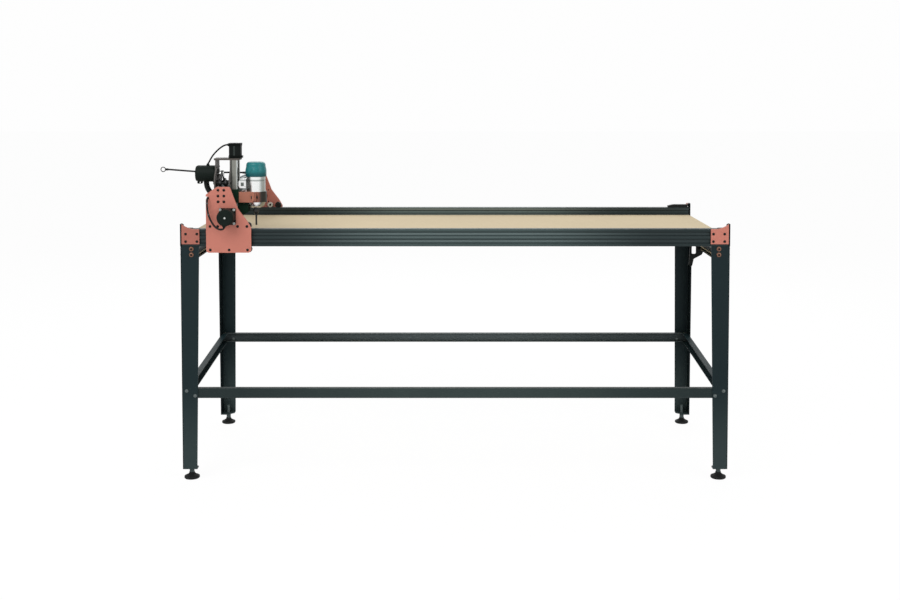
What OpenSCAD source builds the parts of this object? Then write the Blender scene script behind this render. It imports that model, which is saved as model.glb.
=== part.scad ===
// Gantry router on a long folded-steel stand. Millimetres. +X along the rails, +Y to the back,
// +Z up, origin on the floor under the middle of the bed.

/* [Stand] */
// Length of the two long rails
rail_l = 1878; // [1300:1:2600]
// Depth of the stand over the rails' outer faces
stand_d = 760; // [560:1:1200]
// Height of the rails' top faces above the floor
rail_top = 875; // [600:1:1100]
// Thickness of a rail, front to back
rail_t = 30; // [28:1:40]
// Height of a rail
rail_h = 60; // [58:1:80]
// Distance between the two slots in a rail's wide face
slot_pitch = 26; // [24:0.5:30]
// Width of a front leg's front flange at the top
leg_top_w = 65; // [54:1:80]
// Width of a back leg's back flange at the top
leg_back_w = 57; // [50:1:80]
// Width of the legs' side flanges at the top
leg_side_w = 70; // [54:1:84]
// Width of all flanges at the floor
leg_foot_w = 51; // [44:1:60]
// Sheet thickness of the legs
leg_t = 3; // [2:0.5:4]
// Height of the middle of the front stretcher
stretcher_z = 303.5; // [200:0.5:420]
// How much higher the back stretcher is than the front one
stretcher_rise = 43.5; // [0:0.5:60]
// Height of a stretcher's web
stretcher_h = 34.5; // [32:0.5:50]
// Diameter of a levelling foot
foot_d = 53; // [40:1:60]

/* [Bed] */
// Thickness of the spoilboard
board_t = 18; // [12:1:20]
// Drop from the rails' top to the spoilboard's top
board_drop = 29; // [24:1:38]

/* [Gantry] */
// Width of a gantry side plate
plate_w = 154; // [150:1:190]
// Height of a gantry side plate
plate_h = 226; // [224:1:260]
// Thickness of the gantry side plates
plate_t = 6; // [5:0.5:8]
// Gap between a side plate and its rail
plate_gap = 8; // [7.5:0.5:12]
// How far a side plate hangs below its rail
plate_drop = 20; // [18:1:30]
// Width of the gantry beam, along the rails
beam_w = 40; // [40:1:50]
// Height of the gantry beam
beam_h = 60; // [58:1:70]
// Diameter of the V wheels
wheel_d = 24; // [20:0.5:25]
// Diameter of the wheel axles
axle_d = 5; // [4:0.5:6]
// Size of the drive motors' square flange
motor_w = 57; // [56:0.5:58]
// From the rails' left ends to the middle of the gantry
gantry_in = 163.5; // [150:0.5:600]

/* [Carriage] */
// Width of the carriage plates, along the beam
carriage_w = 110; // [106:1:130]
// Thickness of the carriage plates
carriage_t = 4; // [4:0.5:6]
// From the stand's front to the middle of the carriage
carriage_in = 72; // [70:1:300]
// Width of the Z channel
channel_w = 60; // [54:1:64]
// Depth of the Z channel
channel_d = 21; // [21:0.5:26]
// Diameter of the lead screw
screw_d = 8; // [6:0.5:8]

/* [Router] */
// Diameter of the router's barrel
barrel_d = 65; // [60:0.5:68]
// Diameter of the cutter's shank
cutter_d = 6.35; // [3:0.05:8]
// Height of the cutter's tip above the spoilboard
cutter_gap = 35; // [33:1:60]
// Diameter of the router's power lead
lead_d = 6; // [5:0.5:7]

/* [Hidden] */

$fn = 48;
eps = 0.05; // overrun of a cut past the face it opens
seat = 0.3; // gap between faces that slide past each other
run = 0.05; // radial clearance of a running fit
hole_gap = 0.1; // radial clearance of a bolt in its hole

// Colours
salmon = "#b87468";
clamp_salmon = "#a06b54";
rail_black = "#3a4848";
powder_black = "#242d2e";
sheet_black = "#1c2222";
motor_black = "#17191c";
rubber_black = "#141414";
polished = "#c9ccc8";
brushed = "#8c8f8a";
mdf = "#d4c6a9";
teal = "#257377";
copper = "#a8694e";

// ---- derived places -------------------------------------------------------------------------
half_l = rail_l / 2;
half_d = stand_d / 2;
rail_y = half_d - rail_t / 2; // middle of a rail, front to back
rail_z = rail_top - rail_h / 2; // middle height of a rail
rail_bottom = rail_top - rail_h;
board_top = rail_top - board_drop;

// Rail and beam grooves for the V wheels
groove_mouth = 10;
groove_neck = 7;
groove_bevel = (groove_mouth - groove_neck) / 2;
groove_lip = 2; // depth at which the groove widens
groove_under = 12;
groove_deep = 6.5;
// Side slots of the rails
slot_mouth = 15;
slot_lip = 2;
slot_under = 18;
slot_deep = 6;

// Button-head screws
head_r = 4.75;
head_h = 2.75;
screw_r = 2.5;
screw_pitch = 20; // spacing of the end screws of the extrusions
beam_screw_pitch = 19.8; // spacing of the beam's end screws, up and down
end_plate_t = 3;
corner_plate_t = 4;
corner_plate_w = 61;
corner_plate_up = 8; // from the rail's underside to a corner plate's lower edge
corner_rise = 17; // how far a corner plate's outer edge stands above the rail
end_plate_w = 26;
ear_w = 31; // width of a leg's ear over the rail's end
leg_z0 = 38; // underside of a leg
leg_h = rail_bottom - leg_z0;
bend_r = 5; // outer radius of the folded sheet's bends
foot_inset = 27; // foot's middle from a leg's outer faces
foot_plate_t = 4;
stud_r = 5;

// Stretchers and side rails, folded channels
stretcher_d = 22;
stretcher_t = 2;
upper_rail_z = rail_bottom - 48; // middle height of the upper side rails

// Gantry, drawn from a side plate's lower left corner
carriage_y = carriage_in - half_d;
plate_x = gantry_in - half_l - plate_w / 2;
plate_z = rail_bottom - plate_drop;
plate_y = half_d + plate_gap; // inner face of a side plate, from the middle
beam_x = 52; // beam's middle, from the plate's left edge
beam_z = 195; // beam's middle, from the plate's lower edge
wheel_r = wheel_d / 2;
wheel_w = 10.2;
wheel_flat = 6;
axle_r = axle_d / 2;
// A wheel's flanks lie parallel to the groove's bevels, seat apart
axle_off = wheel_r - (groove_mouth - wheel_flat) / 2 + seat * sqrt(2);
low_wheel_z = plate_drop - axle_off;
top_wheel_z = plate_drop + rail_h + axle_off;
low_wheel_x = [14, plate_w / 2 + 1.5, plate_w - 12.5];
top_wheel_x = [13.5, plate_w - 14];
motor_x = plate_w / 2 - 3;
motor_z = top_wheel_z + 34.5;
idler_span = 34; // from the motor's axis to an idler's
idler_x = [motor_x - idler_span, motor_x + idler_span];
idler_r = 10.6;
idler_w = 6.4;
belt_t = 1.4;
belt_w = 6;
bed_belt_top = rail_top - 2.3;
pulley_r = 9.2;
pulley_w = 8;
pulley_teeth = 20;
flange_r = 11.6;
shaft_r = 3.175;
motor_l = 56;
motor_can_r = motor_w / 2;
motor_bolt = 23.57; // half the flange's bolt spacing
pilot_r = 19.1;
spacer_r = 4;
nut_r = 4.6;
nut_h = 4;
end_gap = 0.4; // play between a wheel and the spacer or nut beside it

// Beam, in the row's own frame
beam_mid_x = plate_x + beam_x;
beam_mid_z = plate_z + beam_z;
beam_top = beam_mid_z + beam_h / 2;
groove_off = 10; // the beam's two grooves, from its middle

// Carriage
front_plate_x = beam_mid_x + beam_w / 2 + 1; // back face of the front plate
rear_plate_x = beam_mid_x - beam_w / 2 - 5.5; // front face of the rear plate
carriage_span = 42; // carriage axles from the carriage's middle
carriage_z0 = beam_top - beam_h - 25; // lower edge of the carriage plates
carriage_z1 = plate_z + 314; // top of the carriage plates
shoulder_z = beam_top + 30; // where the carriage plates narrow
top_plate_t = 6;
x_motor_z = beam_top + 41;
x_motor_l = 71;
z_motor_w = 42.3;
z_motor_l = 52;
channel_x = front_plate_x + carriage_t; // back face of the Z channel
channel_t = 3;
channel_lip = 5;
channel_z0 = beam_top - beam_h - 20;
screw_x = channel_x + 11;
coupler_r = 7.5;
coupler_h = 25;

// Z slide
saddle_x = channel_x + channel_d + seat; // back face of the saddle plate
saddle_t = 6.5;
saddle_cheek = 5.5;
saddle_w = channel_w + 2 * (seat + saddle_cheek);
saddle_z0 = beam_top - 59;
saddle_h = 47;
router_x = saddle_x + saddle_t + 54; // axis of the router
barrel_r = barrel_d / 2;
clamp_h = 36;
clamp_z0 = saddle_z0 + 2;
clamp_wall = 4.5;
clamp_r = barrel_r + clamp_wall;
nose_z = beam_top - 77; // underside of the router's nose
barrel_z1 = beam_top + 31; // top of the barrel
cap_h = 51;
cap_r = barrel_r + 3.9;
tip_z = board_top + cutter_gap;

// ---- outlines -------------------------------------------------------------------------------
arc_steps = 6;

function unit(v) = v / norm(v);
function polar(r, a) = r * [cos(a), sin(a)];
function arc(c, r, a0, a1, n = arc_steps) = [for (i = [0:n]) c + polar(r, a0 + (a1 - a0) * i / n)];
function short_turn(a) = a > 180 ? a - 360 : a < -180 ? a + 360 : a;

// One corner at p between a and b, rounded to radius r
function corner(a, p, b, r) =
    let (
        u = unit(a - p),
        v = unit(b - p),
        half = acos(u * v) / 2,
        c = p + unit(u + v) * r / sin(half),
        s = p + u * r / tan(half) - c,
        e = p + v * r / tan(half) - c,
        a0 = atan2(s.y, s.x)
    )
    arc(c, r, a0, a0 + short_turn(atan2(e.y, e.x) - a0));

// Outline through points [x, y, corner radius]
function rounded(pts) =
    let (n = len(pts), p = [for (q = pts) [q.x, q.y]])
    [for (i = [0:n - 1]) each pts[i].z > 0
        ? corner(p[(i + n - 1) % n], p[i], p[(i + 1) % n], pts[i].z)
        : [p[i]]];

function box_points(w, h, r) =
    [[-w / 2, -h / 2, r], [w / 2, -h / 2, r], [w / 2, h / 2, r], [-w / 2, h / 2, r]];

// ---- shapes ---------------------------------------------------------------------------------
// A flat outline in X and Z, t thick from y
module sheet_y(y, t) {
    translate([0, y + t, 0])
        rotate([90, 0, 0])
            linear_extrude(t)
                children();
}

// A flat outline in Y and Z, t thick from x
module sheet_x(x, t) {
    translate([x, 0, 0])
        rotate([90, 0, 90])
            linear_extrude(t)
                children();
}

module rod_x(p, r, l) {
    translate(p)
        rotate([0, 90, 0])
            cylinder(r = r, h = l);
}

module rod_y(p, r, l) {
    translate(p)
        rotate([-90, 0, 0])
            cylinder(r = r, h = l);
}

module rod_z(p, r, l) {
    translate(p)
        cylinder(r = r, h = l);
}

module block(lo, hi) {
    translate(lo)
        cube(hi - lo);
}

module mirror_x() {
    mirror([1, 0, 0])
        children();
}

module mirror_y() {
    mirror([0, 1, 0])
        children();
}

module both_x() {
    children();
    mirror_x()
        children();
}

module both_y() {
    children();
    mirror_y()
        children();
}

// Everything fixed to the gantry is drawn from the front plate's lower left corner
module on_gantry() {
    translate([plate_x, 0, plate_z])
        children();
}

// Everything fixed to the carriage is drawn from the carriage's middle
module on_carriage() {
    translate([0, carriage_y, 0])
        children();
}

// Domed button head on +Z, its shank below
module button_screw(shank, r = screw_r, dome_r = head_r) {
    rotate_extrude()
        polygon(concat(
            [[0, -shank], [r, -shank], [r, 0], [dome_r, 0]],
            [for (i = [1:4]) [dome_r * cos(i * 18), head_h * sin(i * 18)]],
            [[0, head_h * sin(72)]]
        ));
}

module button_screw_x(p, shank, side = 1) {
    translate(p)
        rotate([0, 90 * side, 0])
            button_screw(shank);
}

module button_screw_y(p, shank, side = 1) {
    translate(p)
        rotate([-90 * side, 0, 0])
            button_screw(shank);
}

// One V groove cut into a top face at the origin, running along Y in the outline's depth
module groove_outline() {
    polygon([
        [-groove_mouth / 2 - eps, eps], [-groove_neck / 2, -groove_bevel],
        [-groove_neck / 2, -groove_lip], [-groove_under / 2, -groove_lip],
        [-groove_under / 2, -groove_deep + 2], [-groove_under / 2 + 2, -groove_deep],
        [groove_under / 2 - 2, -groove_deep], [groove_under / 2, -groove_deep + 2],
        [groove_under / 2, -groove_lip], [groove_neck / 2, -groove_lip],
        [groove_neck / 2, -groove_bevel], [groove_mouth / 2 + eps, eps]
    ]);
}

// One wide T slot cut into a top face at the origin
module slot_outline() {
    polygon([
        [-slot_mouth / 2, eps], [-slot_mouth / 2, -slot_lip], [-slot_under / 2, -slot_lip],
        [-slot_under / 2, -slot_deep + 1], [-slot_under / 2 + 1, -slot_deep],
        [slot_under / 2 - 1, -slot_deep], [slot_under / 2, -slot_deep + 1],
        [slot_under / 2, -slot_lip], [slot_mouth / 2, -slot_lip], [slot_mouth / 2, eps]
    ]);
}

// ---- stand ----------------------------------------------------------------------------------
// Rail section: a V groove above and below, two T slots in each wide face, end screw cores
module rail_section() {
    difference() {
        polygon(rounded(box_points(rail_t, rail_h, 1)));
        for (a = [0, 180])
            rotate(a)
                translate([0, rail_h / 2])
                    groove_outline();
        for (side = [-90, 90], k = [-1, 1])
            rotate(side)
                translate([k * slot_pitch / 2, rail_t / 2])
                    slot_outline();
        for (k = [-1:1])
            translate([0, k * screw_pitch])
                circle(screw_r + hole_gap);
    }
}

module rail_front() {
    color(rail_black)
        translate([0, -rail_y, rail_z])
            sheet_x(-half_l, rail_l)
                rail_section();
}

module rail_back() {
    color(rail_black)
        mirror_y()
            translate([0, -rail_y, rail_z])
                sheet_x(-half_l, rail_l)
                    rail_section();
}

ledge_t = 3;
ledge_w = 25;
ledge_up = 20;
cross_count = 5;
cross_w = 40;
cross_t = 6;
inner_y = half_d - rail_t; // a rail's inner face

// Angle ledges on the rails' inner faces, and flat bars between them, under the board
module cross_beams() {
    board_z = board_top - board_t;
    color(powder_black) {
        both_y()
            translate([0, -inner_y, board_z - ledge_t])
                sheet_x(-half_l, rail_l)
                    polygon(rounded([
                        [0, 0, 2], [ledge_w, 0, 0], [ledge_w, ledge_t, 0],
                        [ledge_t, ledge_t, 0], [ledge_t, ledge_up, 0], [0, ledge_up, 0]
                    ]));
        for (i = [0:cross_count - 1]) {
            x = (i / (cross_count - 1) - 0.5) * (rail_l - cross_w);
            block(
                [x - cross_w / 2, -inner_y + ledge_w + seat, board_z - cross_t],
                [x + cross_w / 2, inner_y - ledge_w - seat, board_z]
            );
        }
    }
}

board_y = inner_y - ledge_t - 2;

module spoilboard() {
    color(mdf)
        block([-half_l, -board_y, board_top - board_t], [half_l, board_y, board_top]);
}

corner_screw_x = [14, 52.5];

// Outline of a corner plate from the rail's end, its top a hollow curve that rises outwards
module corner_outline() {
    curve_w = corner_plate_w * 0.75;
    difference() {
        polygon(concat(
            [[0, corner_plate_up], [corner_plate_w, corner_plate_up], [corner_plate_w, rail_h]],
            [for (i = [0:8])
                let (u = curve_w * (1 - i / 8))
                [u, rail_h + corner_rise * pow(1 - u / curve_w, 2)]]
        ));
        for (x = corner_screw_x, k = [-1, 1])
            translate([x, rail_h / 2 + k * slot_pitch / 2])
                circle(screw_r + hole_gap);
    }
}

module corner_plates() {
    color(salmon)
        both_x()
            both_y()
                translate([-half_l, 0, rail_bottom])
                    sheet_y(-half_d - corner_plate_t, corner_plate_t)
                        corner_outline();
}

end_screw_z = [for (k = [-3:2]) rail_z + k * screw_pitch];
ear_top = end_screw_z[5] + 7;
leg_x = half_l + end_plate_t + leg_t; // outer faces of the legs

// Packing plates between the rails' ends and the legs' ears, under all six end screws
module end_plates() {
    color(sheet_black)
        both_x()
            both_y()
                difference() {
                    translate([0, -half_d, 0])
                        sheet_x(-half_l - end_plate_t, end_plate_t)
                            polygon(rounded([
                                [bend_r + seat, end_screw_z[0] - 9, 3], [end_plate_w, end_screw_z[0] - 9, 6],
                                [end_plate_w, ear_top - 1, 5], [bend_r + seat, ear_top - 1, 3]
                            ]));
                    for (z = end_screw_z)
                        rod_x([-leg_x, -rail_y, z], screw_r + hole_gap, 2 * end_plate_t + leg_t);
                }
}

leg_bolt_z = [rail_bottom - 9, rail_bottom - 29];
leg_bolt_x = 38.5;
stretcher_bolt = [[17, 9], [46.5, -8]]; // along the flange and up from the stretcher's middle
side_bolt_y = 38; // from a leg's outer face to a side rail's bolt
back_stretcher_z = stretcher_z + stretcher_rise;

// Tapered flange outline, its outer edge upright at x = 0
module leg_flange(top_w) {
    polygon([[bend_r, 0], [leg_foot_w, 0], [top_w, leg_h], [bend_r, leg_h]]);
}

// Side flange's ear over the end of the rail
module leg_ear() {
    polygon(rounded([
        [bend_r, leg_h - eps, 0], [ear_w + 8, leg_h - eps, 0], [ear_w, leg_h + 8, 6],
        [ear_w, ear_top - leg_z0, 6], [0, ear_top - leg_z0, 0], [0, leg_h, 0], [bend_r, leg_h, 0]
    ]));
}

// Front left leg: two tapered flanges joined by a bend, an ear that carries the rail's end,
// and a plate that carries the foot's stud
module leg(front_w, low_z) {
    inner = leg_t;
    difference() {
        union() {
            sheet_y(0, leg_t)
                leg_flange(front_w);
            mirror([1, -1, 0])
                sheet_y(0, leg_t)
                    union() {
                        leg_flange(leg_side_w);
                        leg_ear();
                    }
            intersection() {
                difference() {
                    rod_z([bend_r, bend_r, 0], bend_r, leg_h);
                    rod_z([bend_r, bend_r, -1], bend_r - leg_t, leg_h + 2);
                }
                cube([bend_r, bend_r, leg_h]);
            }
            linear_extrude(foot_plate_t)
                polygon([
                    [bend_r, inner - eps], [leg_foot_w, inner - eps], [leg_foot_w, leg_foot_w / 2],
                    [leg_foot_w / 2, leg_foot_w], [inner - eps, leg_foot_w], [inner - eps, bend_r]
                ]);
        }
        rod_z([foot_inset, foot_inset, -1], stud_r + hole_gap, foot_plate_t + 2);
        for (z = leg_bolt_z)
            rod_y([leg_bolt_x, -1, z - leg_z0], 4 + hole_gap, leg_t + 2);
        for (b = stretcher_bolt)
            rod_y([b.x, -1, low_z + b.y - leg_z0], 3 + hole_gap, leg_t + 2);
        for (z = [low_z, upper_rail_z])
            rod_x([-1, side_bolt_y, z - leg_z0], 3 + hole_gap, leg_t + 2);
        for (z = end_screw_z)
            rod_x([-1, rail_t / 2, z - leg_z0], screw_r + hole_gap, leg_t + 2);
    }
}

module at_front_left() {
    translate([-leg_x, -half_d, leg_z0])
        children();
}

module front_leg() {
    leg(leg_top_w, stretcher_z);
}

module back_leg() {
    leg(leg_back_w, back_stretcher_z);
}

module leg_front_left() {
    color(powder_black)
        at_front_left()
            front_leg();
}

module leg_front_right() {
    color(powder_black)
        mirror_x()
            at_front_left()
                front_leg();
}

module leg_back_left() {
    color(powder_black)
        mirror_y()
            at_front_left()
                back_leg();
}

module leg_back_right() {
    color(powder_black)
        mirror_x()
            mirror_y()
                at_front_left()
                    back_leg();
}

// Channel section, web at the left, flanges to the right, its middle height at 0
module channel_outline() {
    h = stretcher_h / 2;
    difference() {
        polygon(rounded([
            [0, -h, 3], [stretcher_d, -h, 0], [stretcher_d, h, 0], [0, h, 3]
        ]));
        polygon(rounded([
            [stretcher_t, -h + stretcher_t, 1], [stretcher_d + 1, -h + stretcher_t, 0],
            [stretcher_d + 1, h - stretcher_t, 0], [stretcher_t, h - stretcher_t, 1]
        ]));
    }
}

long_stretcher_half = leg_x - leg_t - 3;

module long_stretcher(z) {
    difference() {
        translate([0, -half_d + leg_t, z])
            sheet_x(-long_stretcher_half, 2 * long_stretcher_half)
                channel_outline();
        both_x()
            for (b = stretcher_bolt)
                rod_y([-leg_x + b.x, -half_d, z + b.y], 3 + hole_gap, 12);
    }
}

module stretcher_front() {
    color(powder_black)
        long_stretcher(stretcher_z);
}

module stretcher_back() {
    color(powder_black)
        mirror_y()
            long_stretcher(back_stretcher_z);
}

side_rail_half = half_d - leg_t - stretcher_d - 4;
side_bolt_half = half_d - side_bolt_y;

// One short channel between a front and a back leg, rising from its front bolt to its back bolt
module side_rail(front_z, back_z) {
    slope = atan2(back_z - front_z, 2 * side_bolt_half);
    difference() {
        translate([-leg_x + leg_t, 0, (front_z + back_z) / 2])
            rotate([90 + slope, 0, 0])
                translate([0, 0, -side_rail_half])
                    linear_extrude(2 * side_rail_half)
                        channel_outline();
        rod_x([-leg_x, -side_bolt_half, front_z], 3 + hole_gap, 12);
        rod_x([-leg_x, side_bolt_half, back_z], 3 + hole_gap, 12);
    }
}

module side_rails() {
    color(powder_black)
        both_x() {
            side_rail(stretcher_z, back_stretcher_z);
            side_rail(upper_rail_z, upper_rail_z);
        }
}

// Screw into a slot's wide nut
module slot_screw() {
    reach = corner_plate_t + slot_lip;
    button_screw(reach);
    translate([-slot_under / 2 + 1, -slot_mouth / 2 + 1, -reach - 3])
        cube([slot_under - 2, slot_mouth - 2, 3]);
}

module frame_screws() {
    color(rubber_black)
        both_x()
            both_y() {
                for (x = corner_screw_x, k = [-1, 1])
                    translate([-half_l + x, -half_d - corner_plate_t, rail_z + k * slot_pitch / 2])
                        rotate([90, 0, 0])
                            rotate(90)
                                slot_screw();
                for (i = [2:4])
                    button_screw_x([-leg_x, -rail_y, end_screw_z[i]], 25, -1);
                for (i = [0, 1, 5]) {
                    button_screw_x([-leg_x, -rail_y, end_screw_z[i]], leg_t + end_plate_t + nut_h, -1);
                    translate([-half_l, -rail_y, end_screw_z[i]])
                        rotate([0, 90, 0])
                            nut(nut_h, screw_r);
                }
            }
}

// Hexagon nut round a shank of radius r
module nut(h, r) {
    difference() {
        cylinder(r = r * 1.85, h = h, $fn = 6);
        translate([0, 0, -1])
            cylinder(r = r + 0.02, h = h + 2);
    }
}

// Bolt with a washer under its head on -Y, and a nut behind sheet of thickness grip
module leg_bolt(r, grip) {
    rotate([90, 0, 0]) {
        rotate_extrude()
            polygon([
                [0, -grip - r * 1.6], [r, -grip - r * 1.6], [r, 0], [r * 2, 0], [r * 2, 1.2],
                [r * 1.55, 1.2], [r * 1.4, 1.2 + r * 0.7], [r * 0.8, 1.2 + r * 0.95], [0, 1.2 + r * 0.95]
            ]);
        translate([0, 0, -grip - r * 1.6])
            nut(r * 1.6, r);
    }
}

lap = leg_t + stretcher_t; // grip of the bolts through leg and stretcher

// Bolts of the lower stretchers at the front left leg
module low_bolts(z) {
    for (b = stretcher_bolt)
        translate([-leg_x + b.x, -half_d, z + b.y])
            leg_bolt(3, lap);
    translate([-leg_x, -side_bolt_half, z])
        rotate(-90)
            leg_bolt(3, lap);
}

module leg_bolts() {
    color(copper)
        both_x()
            both_y() {
                for (z = leg_bolt_z)
                    translate([-leg_x + leg_bolt_x, -half_d, z])
                        leg_bolt(4, leg_t);
                translate([-leg_x, -side_bolt_half, upper_rail_z])
                    rotate(-90)
                        leg_bolt(3, lap);
            }
    color(copper)
        both_x() {
            low_bolts(stretcher_z);
            mirror_y()
                low_bolts(back_stretcher_z);
        }
}

anchor_l = 30;
anchor_h = 2.4;
anchor_in = 5; // anchor's outer end from the rail's end
stop_l = 78;
stop_h = 12;

// Toothed belts lying in the rails' upper grooves
module bed_belts() {
    color(rubber_black)
        both_y()
            block(
                [-half_l + anchor_in, -rail_y - belt_w / 2, bed_belt_top - belt_t],
                [half_l - anchor_in, -rail_y + belt_w / 2, bed_belt_top]
            );
}

// Flat clamp from the origin along X, its tongue in the groove on the belt's end
module belt_anchor(l, h, slope) {
    block([0, -2.8, bed_belt_top - rail_top], [anchor_l, 2.8, eps]);
    rotate([90, 0, 0])
        translate([0, 0, -9])
            linear_extrude(18)
                polygon([[0, 0], [l, 0], [l, h * 0.6], [l - slope, h], [0, h]]);
}

// Clamps that hold the belts' ends down, the back right one long and tall as the gantry's stop
module belt_anchors() {
    color(sheet_black) {
        both_x()
            translate([-half_l + anchor_in, -rail_y, rail_top])
                belt_anchor(anchor_l, anchor_h, 4);
        translate([-half_l + anchor_in, rail_y, rail_top])
            belt_anchor(anchor_l, anchor_h, 4);
        mirror_x()
            translate([-half_l + anchor_in, rail_y, rail_top])
                belt_anchor(stop_l, stop_h, 22);
    }
}

bracket_w = 50;
bracket_h = 59;
bracket_rise = 17; // how far the bracket reaches up inside the side rail
bracket_t = 4;
bracket_y = 20;

// Slotted bracket for cables, hung under the right upper side rail
module cable_bracket() {
    x1 = leg_x - leg_t - 9;
    x_in = leg_x - leg_t - stretcher_d - seat;
    z1 = upper_rail_z - stretcher_h / 2;
    color(sheet_black) {
        difference() {
            sheet_y(bracket_y, bracket_t)
                polygon(rounded([
                    [x1 - bracket_w - 4, z1 - bracket_h, 4], [x1 - bracket_w + 8, z1 - bracket_h - 4, 4],
                    [x1 - bracket_w + 14, z1 - bracket_h + 24, 4], [x1 - 6, z1 - bracket_h + 40, 6],
                    [x1, z1 - bracket_h + 52, 4], [x1 - 8, z1, 0], [x_in, z1, 0],
                    [x_in, z1 + bracket_rise, 0], [x1 - bracket_w, z1 + bracket_rise, 0]
                ]));
            sheet_y(bracket_y - 1, bracket_t + 2)
                polygon(rounded([
                    [x1 - bracket_w + 6, z1 - bracket_h + 43, 5], [x1 - bracket_w + 22, z1 - bracket_h + 43, 5],
                    [x1 - bracket_w + 22, z1 + bracket_rise - 4, 4],
                    [x1 - bracket_w + 6, z1 + bracket_rise - 4, 4]
                ]));
        }
        block([x1 - 19, bracket_y + bracket_t, z1 - bracket_t], [x1, bracket_y + 26, z1]);
        block([x1 - 19, bracket_y, z1 - bracket_t], [x1 - 8, bracket_y + bracket_t + eps, z1]);
    }
}

// Levelling foot: rubber bell under a steel stud with a lock nut
module foot() {
    r = foot_d / 2;
    translate([foot_inset, foot_inset, -leg_z0]) {
        rotate_extrude()
            polygon(concat(
                [[0, 0], [r - 2, 0], [r, 2], [r, 7]],
                [for (i = [0:6]) [9.5 + (r - 10) * pow(1 - i / 6, 1.7), 8 + 12 * i / 6]],
                [[9.5, 22], [0, 22]]
            ));
        translate([0, 0, 22])
            cylinder(r = stud_r * 1.7, h = leg_z0 - 22, $fn = 6);
        rod_z([0, 0, leg_z0], stud_r, 34);
    }
}

module foot_front_left() {
    color(rubber_black)
        at_front_left()
            foot();
}

module foot_front_right() {
    color(rubber_black)
        mirror_x()
            at_front_left()
                foot();
}

module foot_back_left() {
    color(rubber_black)
        mirror_y()
            at_front_left()
                foot();
}

module foot_back_right() {
    color(rubber_black)
        mirror_x()
            mirror_y()
                at_front_left()
                    foot();
}

// ---- gantry ---------------------------------------------------------------------------------
notch_z = 188;
notch_r = 5;

// Side plate: square foot over the rail, leaning neck up to the beam's six screws
module gantry_plate() {
    top = plate_h;
    difference() {
        polygon(rounded([
            [0, 0, 10], [plate_w, 0, 10], [plate_w, 86, 8], [plate_w - 13, 109, 12],
            [plate_w - 44, 150, 24], [beam_x + 30, top, 6], [beam_x - 14, top, 6], [0, 200, 5]
        ]));
        translate([7, notch_z])
            circle(notch_r);
        translate([-1, notch_z - notch_r])
            square([8, 2 * notch_r]);
        for (x = low_wheel_x)
            translate([x, low_wheel_z])
                circle(axle_r + hole_gap);
        for (x = concat(top_wheel_x, idler_x))
            translate([x, top_wheel_z])
                circle(axle_r + hole_gap);
        for (x = [-1, 1], z = [-1:1])
            translate([beam_x + x * groove_off, beam_z + z * beam_screw_pitch])
                circle(screw_r + hole_gap);
        translate([motor_x, motor_z])
            circle(pilot_r);
        for (x = [-1, 1], z = [-1, 1])
            translate([motor_x + x * motor_bolt, motor_z + z * motor_bolt])
                circle(screw_r + hole_gap);
    }
}

module gantry_plate_front() {
    color(salmon)
        on_gantry()
            sheet_y(-plate_y - plate_t, plate_t)
                gantry_plate();
}

module gantry_plate_back() {
    color(salmon)
        mirror_y()
            on_gantry()
                sheet_y(-plate_y - plate_t, plate_t)
                    gantry_plate();
}

// Beam section: two V grooves above and below, three slots in each side, six screw cores
module beam_section() {
    difference() {
        polygon(rounded(box_points(beam_w, beam_h, 1.5)));
        for (a = [0, 180], k = [-1, 1])
            rotate(a)
                translate([k * groove_off, beam_h / 2])
                    groove_outline();
        for (a = [-90, 90], k = [-1:1])
            rotate(a)
                translate([k * screw_pitch, beam_w / 2])
                    polygon([
                        [-3.5, eps], [-3.5, -2], [-5, -2], [-2.5, -5],
                        [2.5, -5], [5, -2], [3.5, -2], [3.5, eps]
                    ]);
        for (x = [-1, 1], z = [-1:1])
            translate([x * groove_off, z * beam_screw_pitch])
                circle(screw_r + hole_gap);
    }
}

module gantry_beam() {
    color(rail_black)
        translate([beam_mid_x, plate_y, beam_mid_z])
            rotate([90, 0, 0])
                linear_extrude(2 * plate_y)
                    beam_section();
}

wheel_y = -rail_y; // middle plane of the front wheels
wheel_in = plate_y - rail_y; // from the plate's inner face to that plane

// Axle bolt with its spacer and lock nut, for a wheel of width w
module axle_set(w) {
    gap = wheel_in - w / 2 - end_gap;
    translate([0, -plate_y - plate_t, 0])
        rotate([90, 0, 0])
            button_screw(plate_t + wheel_in + w / 2 + end_gap + nut_h, axle_r);
    difference() {
        rod_y([0, -plate_y, 0], spacer_r, gap);
        rod_y([0, -plate_y - 1, 0], axle_r + 0.02, gap + 2);
    }
    translate([0, wheel_y + w / 2 + end_gap, 0])
        rotate([-90, 0, 0])
            nut(nut_h, axle_r);
}

module gantry_fasteners() {
    color(rubber_black)
        both_y()
            on_gantry() {
                for (x = low_wheel_x)
                    translate([x, 0, low_wheel_z])
                        axle_set(wheel_w);
                for (x = top_wheel_x)
                    translate([x, 0, top_wheel_z])
                        axle_set(wheel_w);
                for (x = idler_x)
                    translate([x, 0, top_wheel_z])
                        axle_set(idler_w);
                for (x = [-1, 1], z = [-1:1])
                    button_screw_y(
                        [beam_x + x * groove_off, -plate_y - plate_t, beam_z + z * beam_screw_pitch],
                        plate_t + 18, -1
                    );
            }
}

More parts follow.
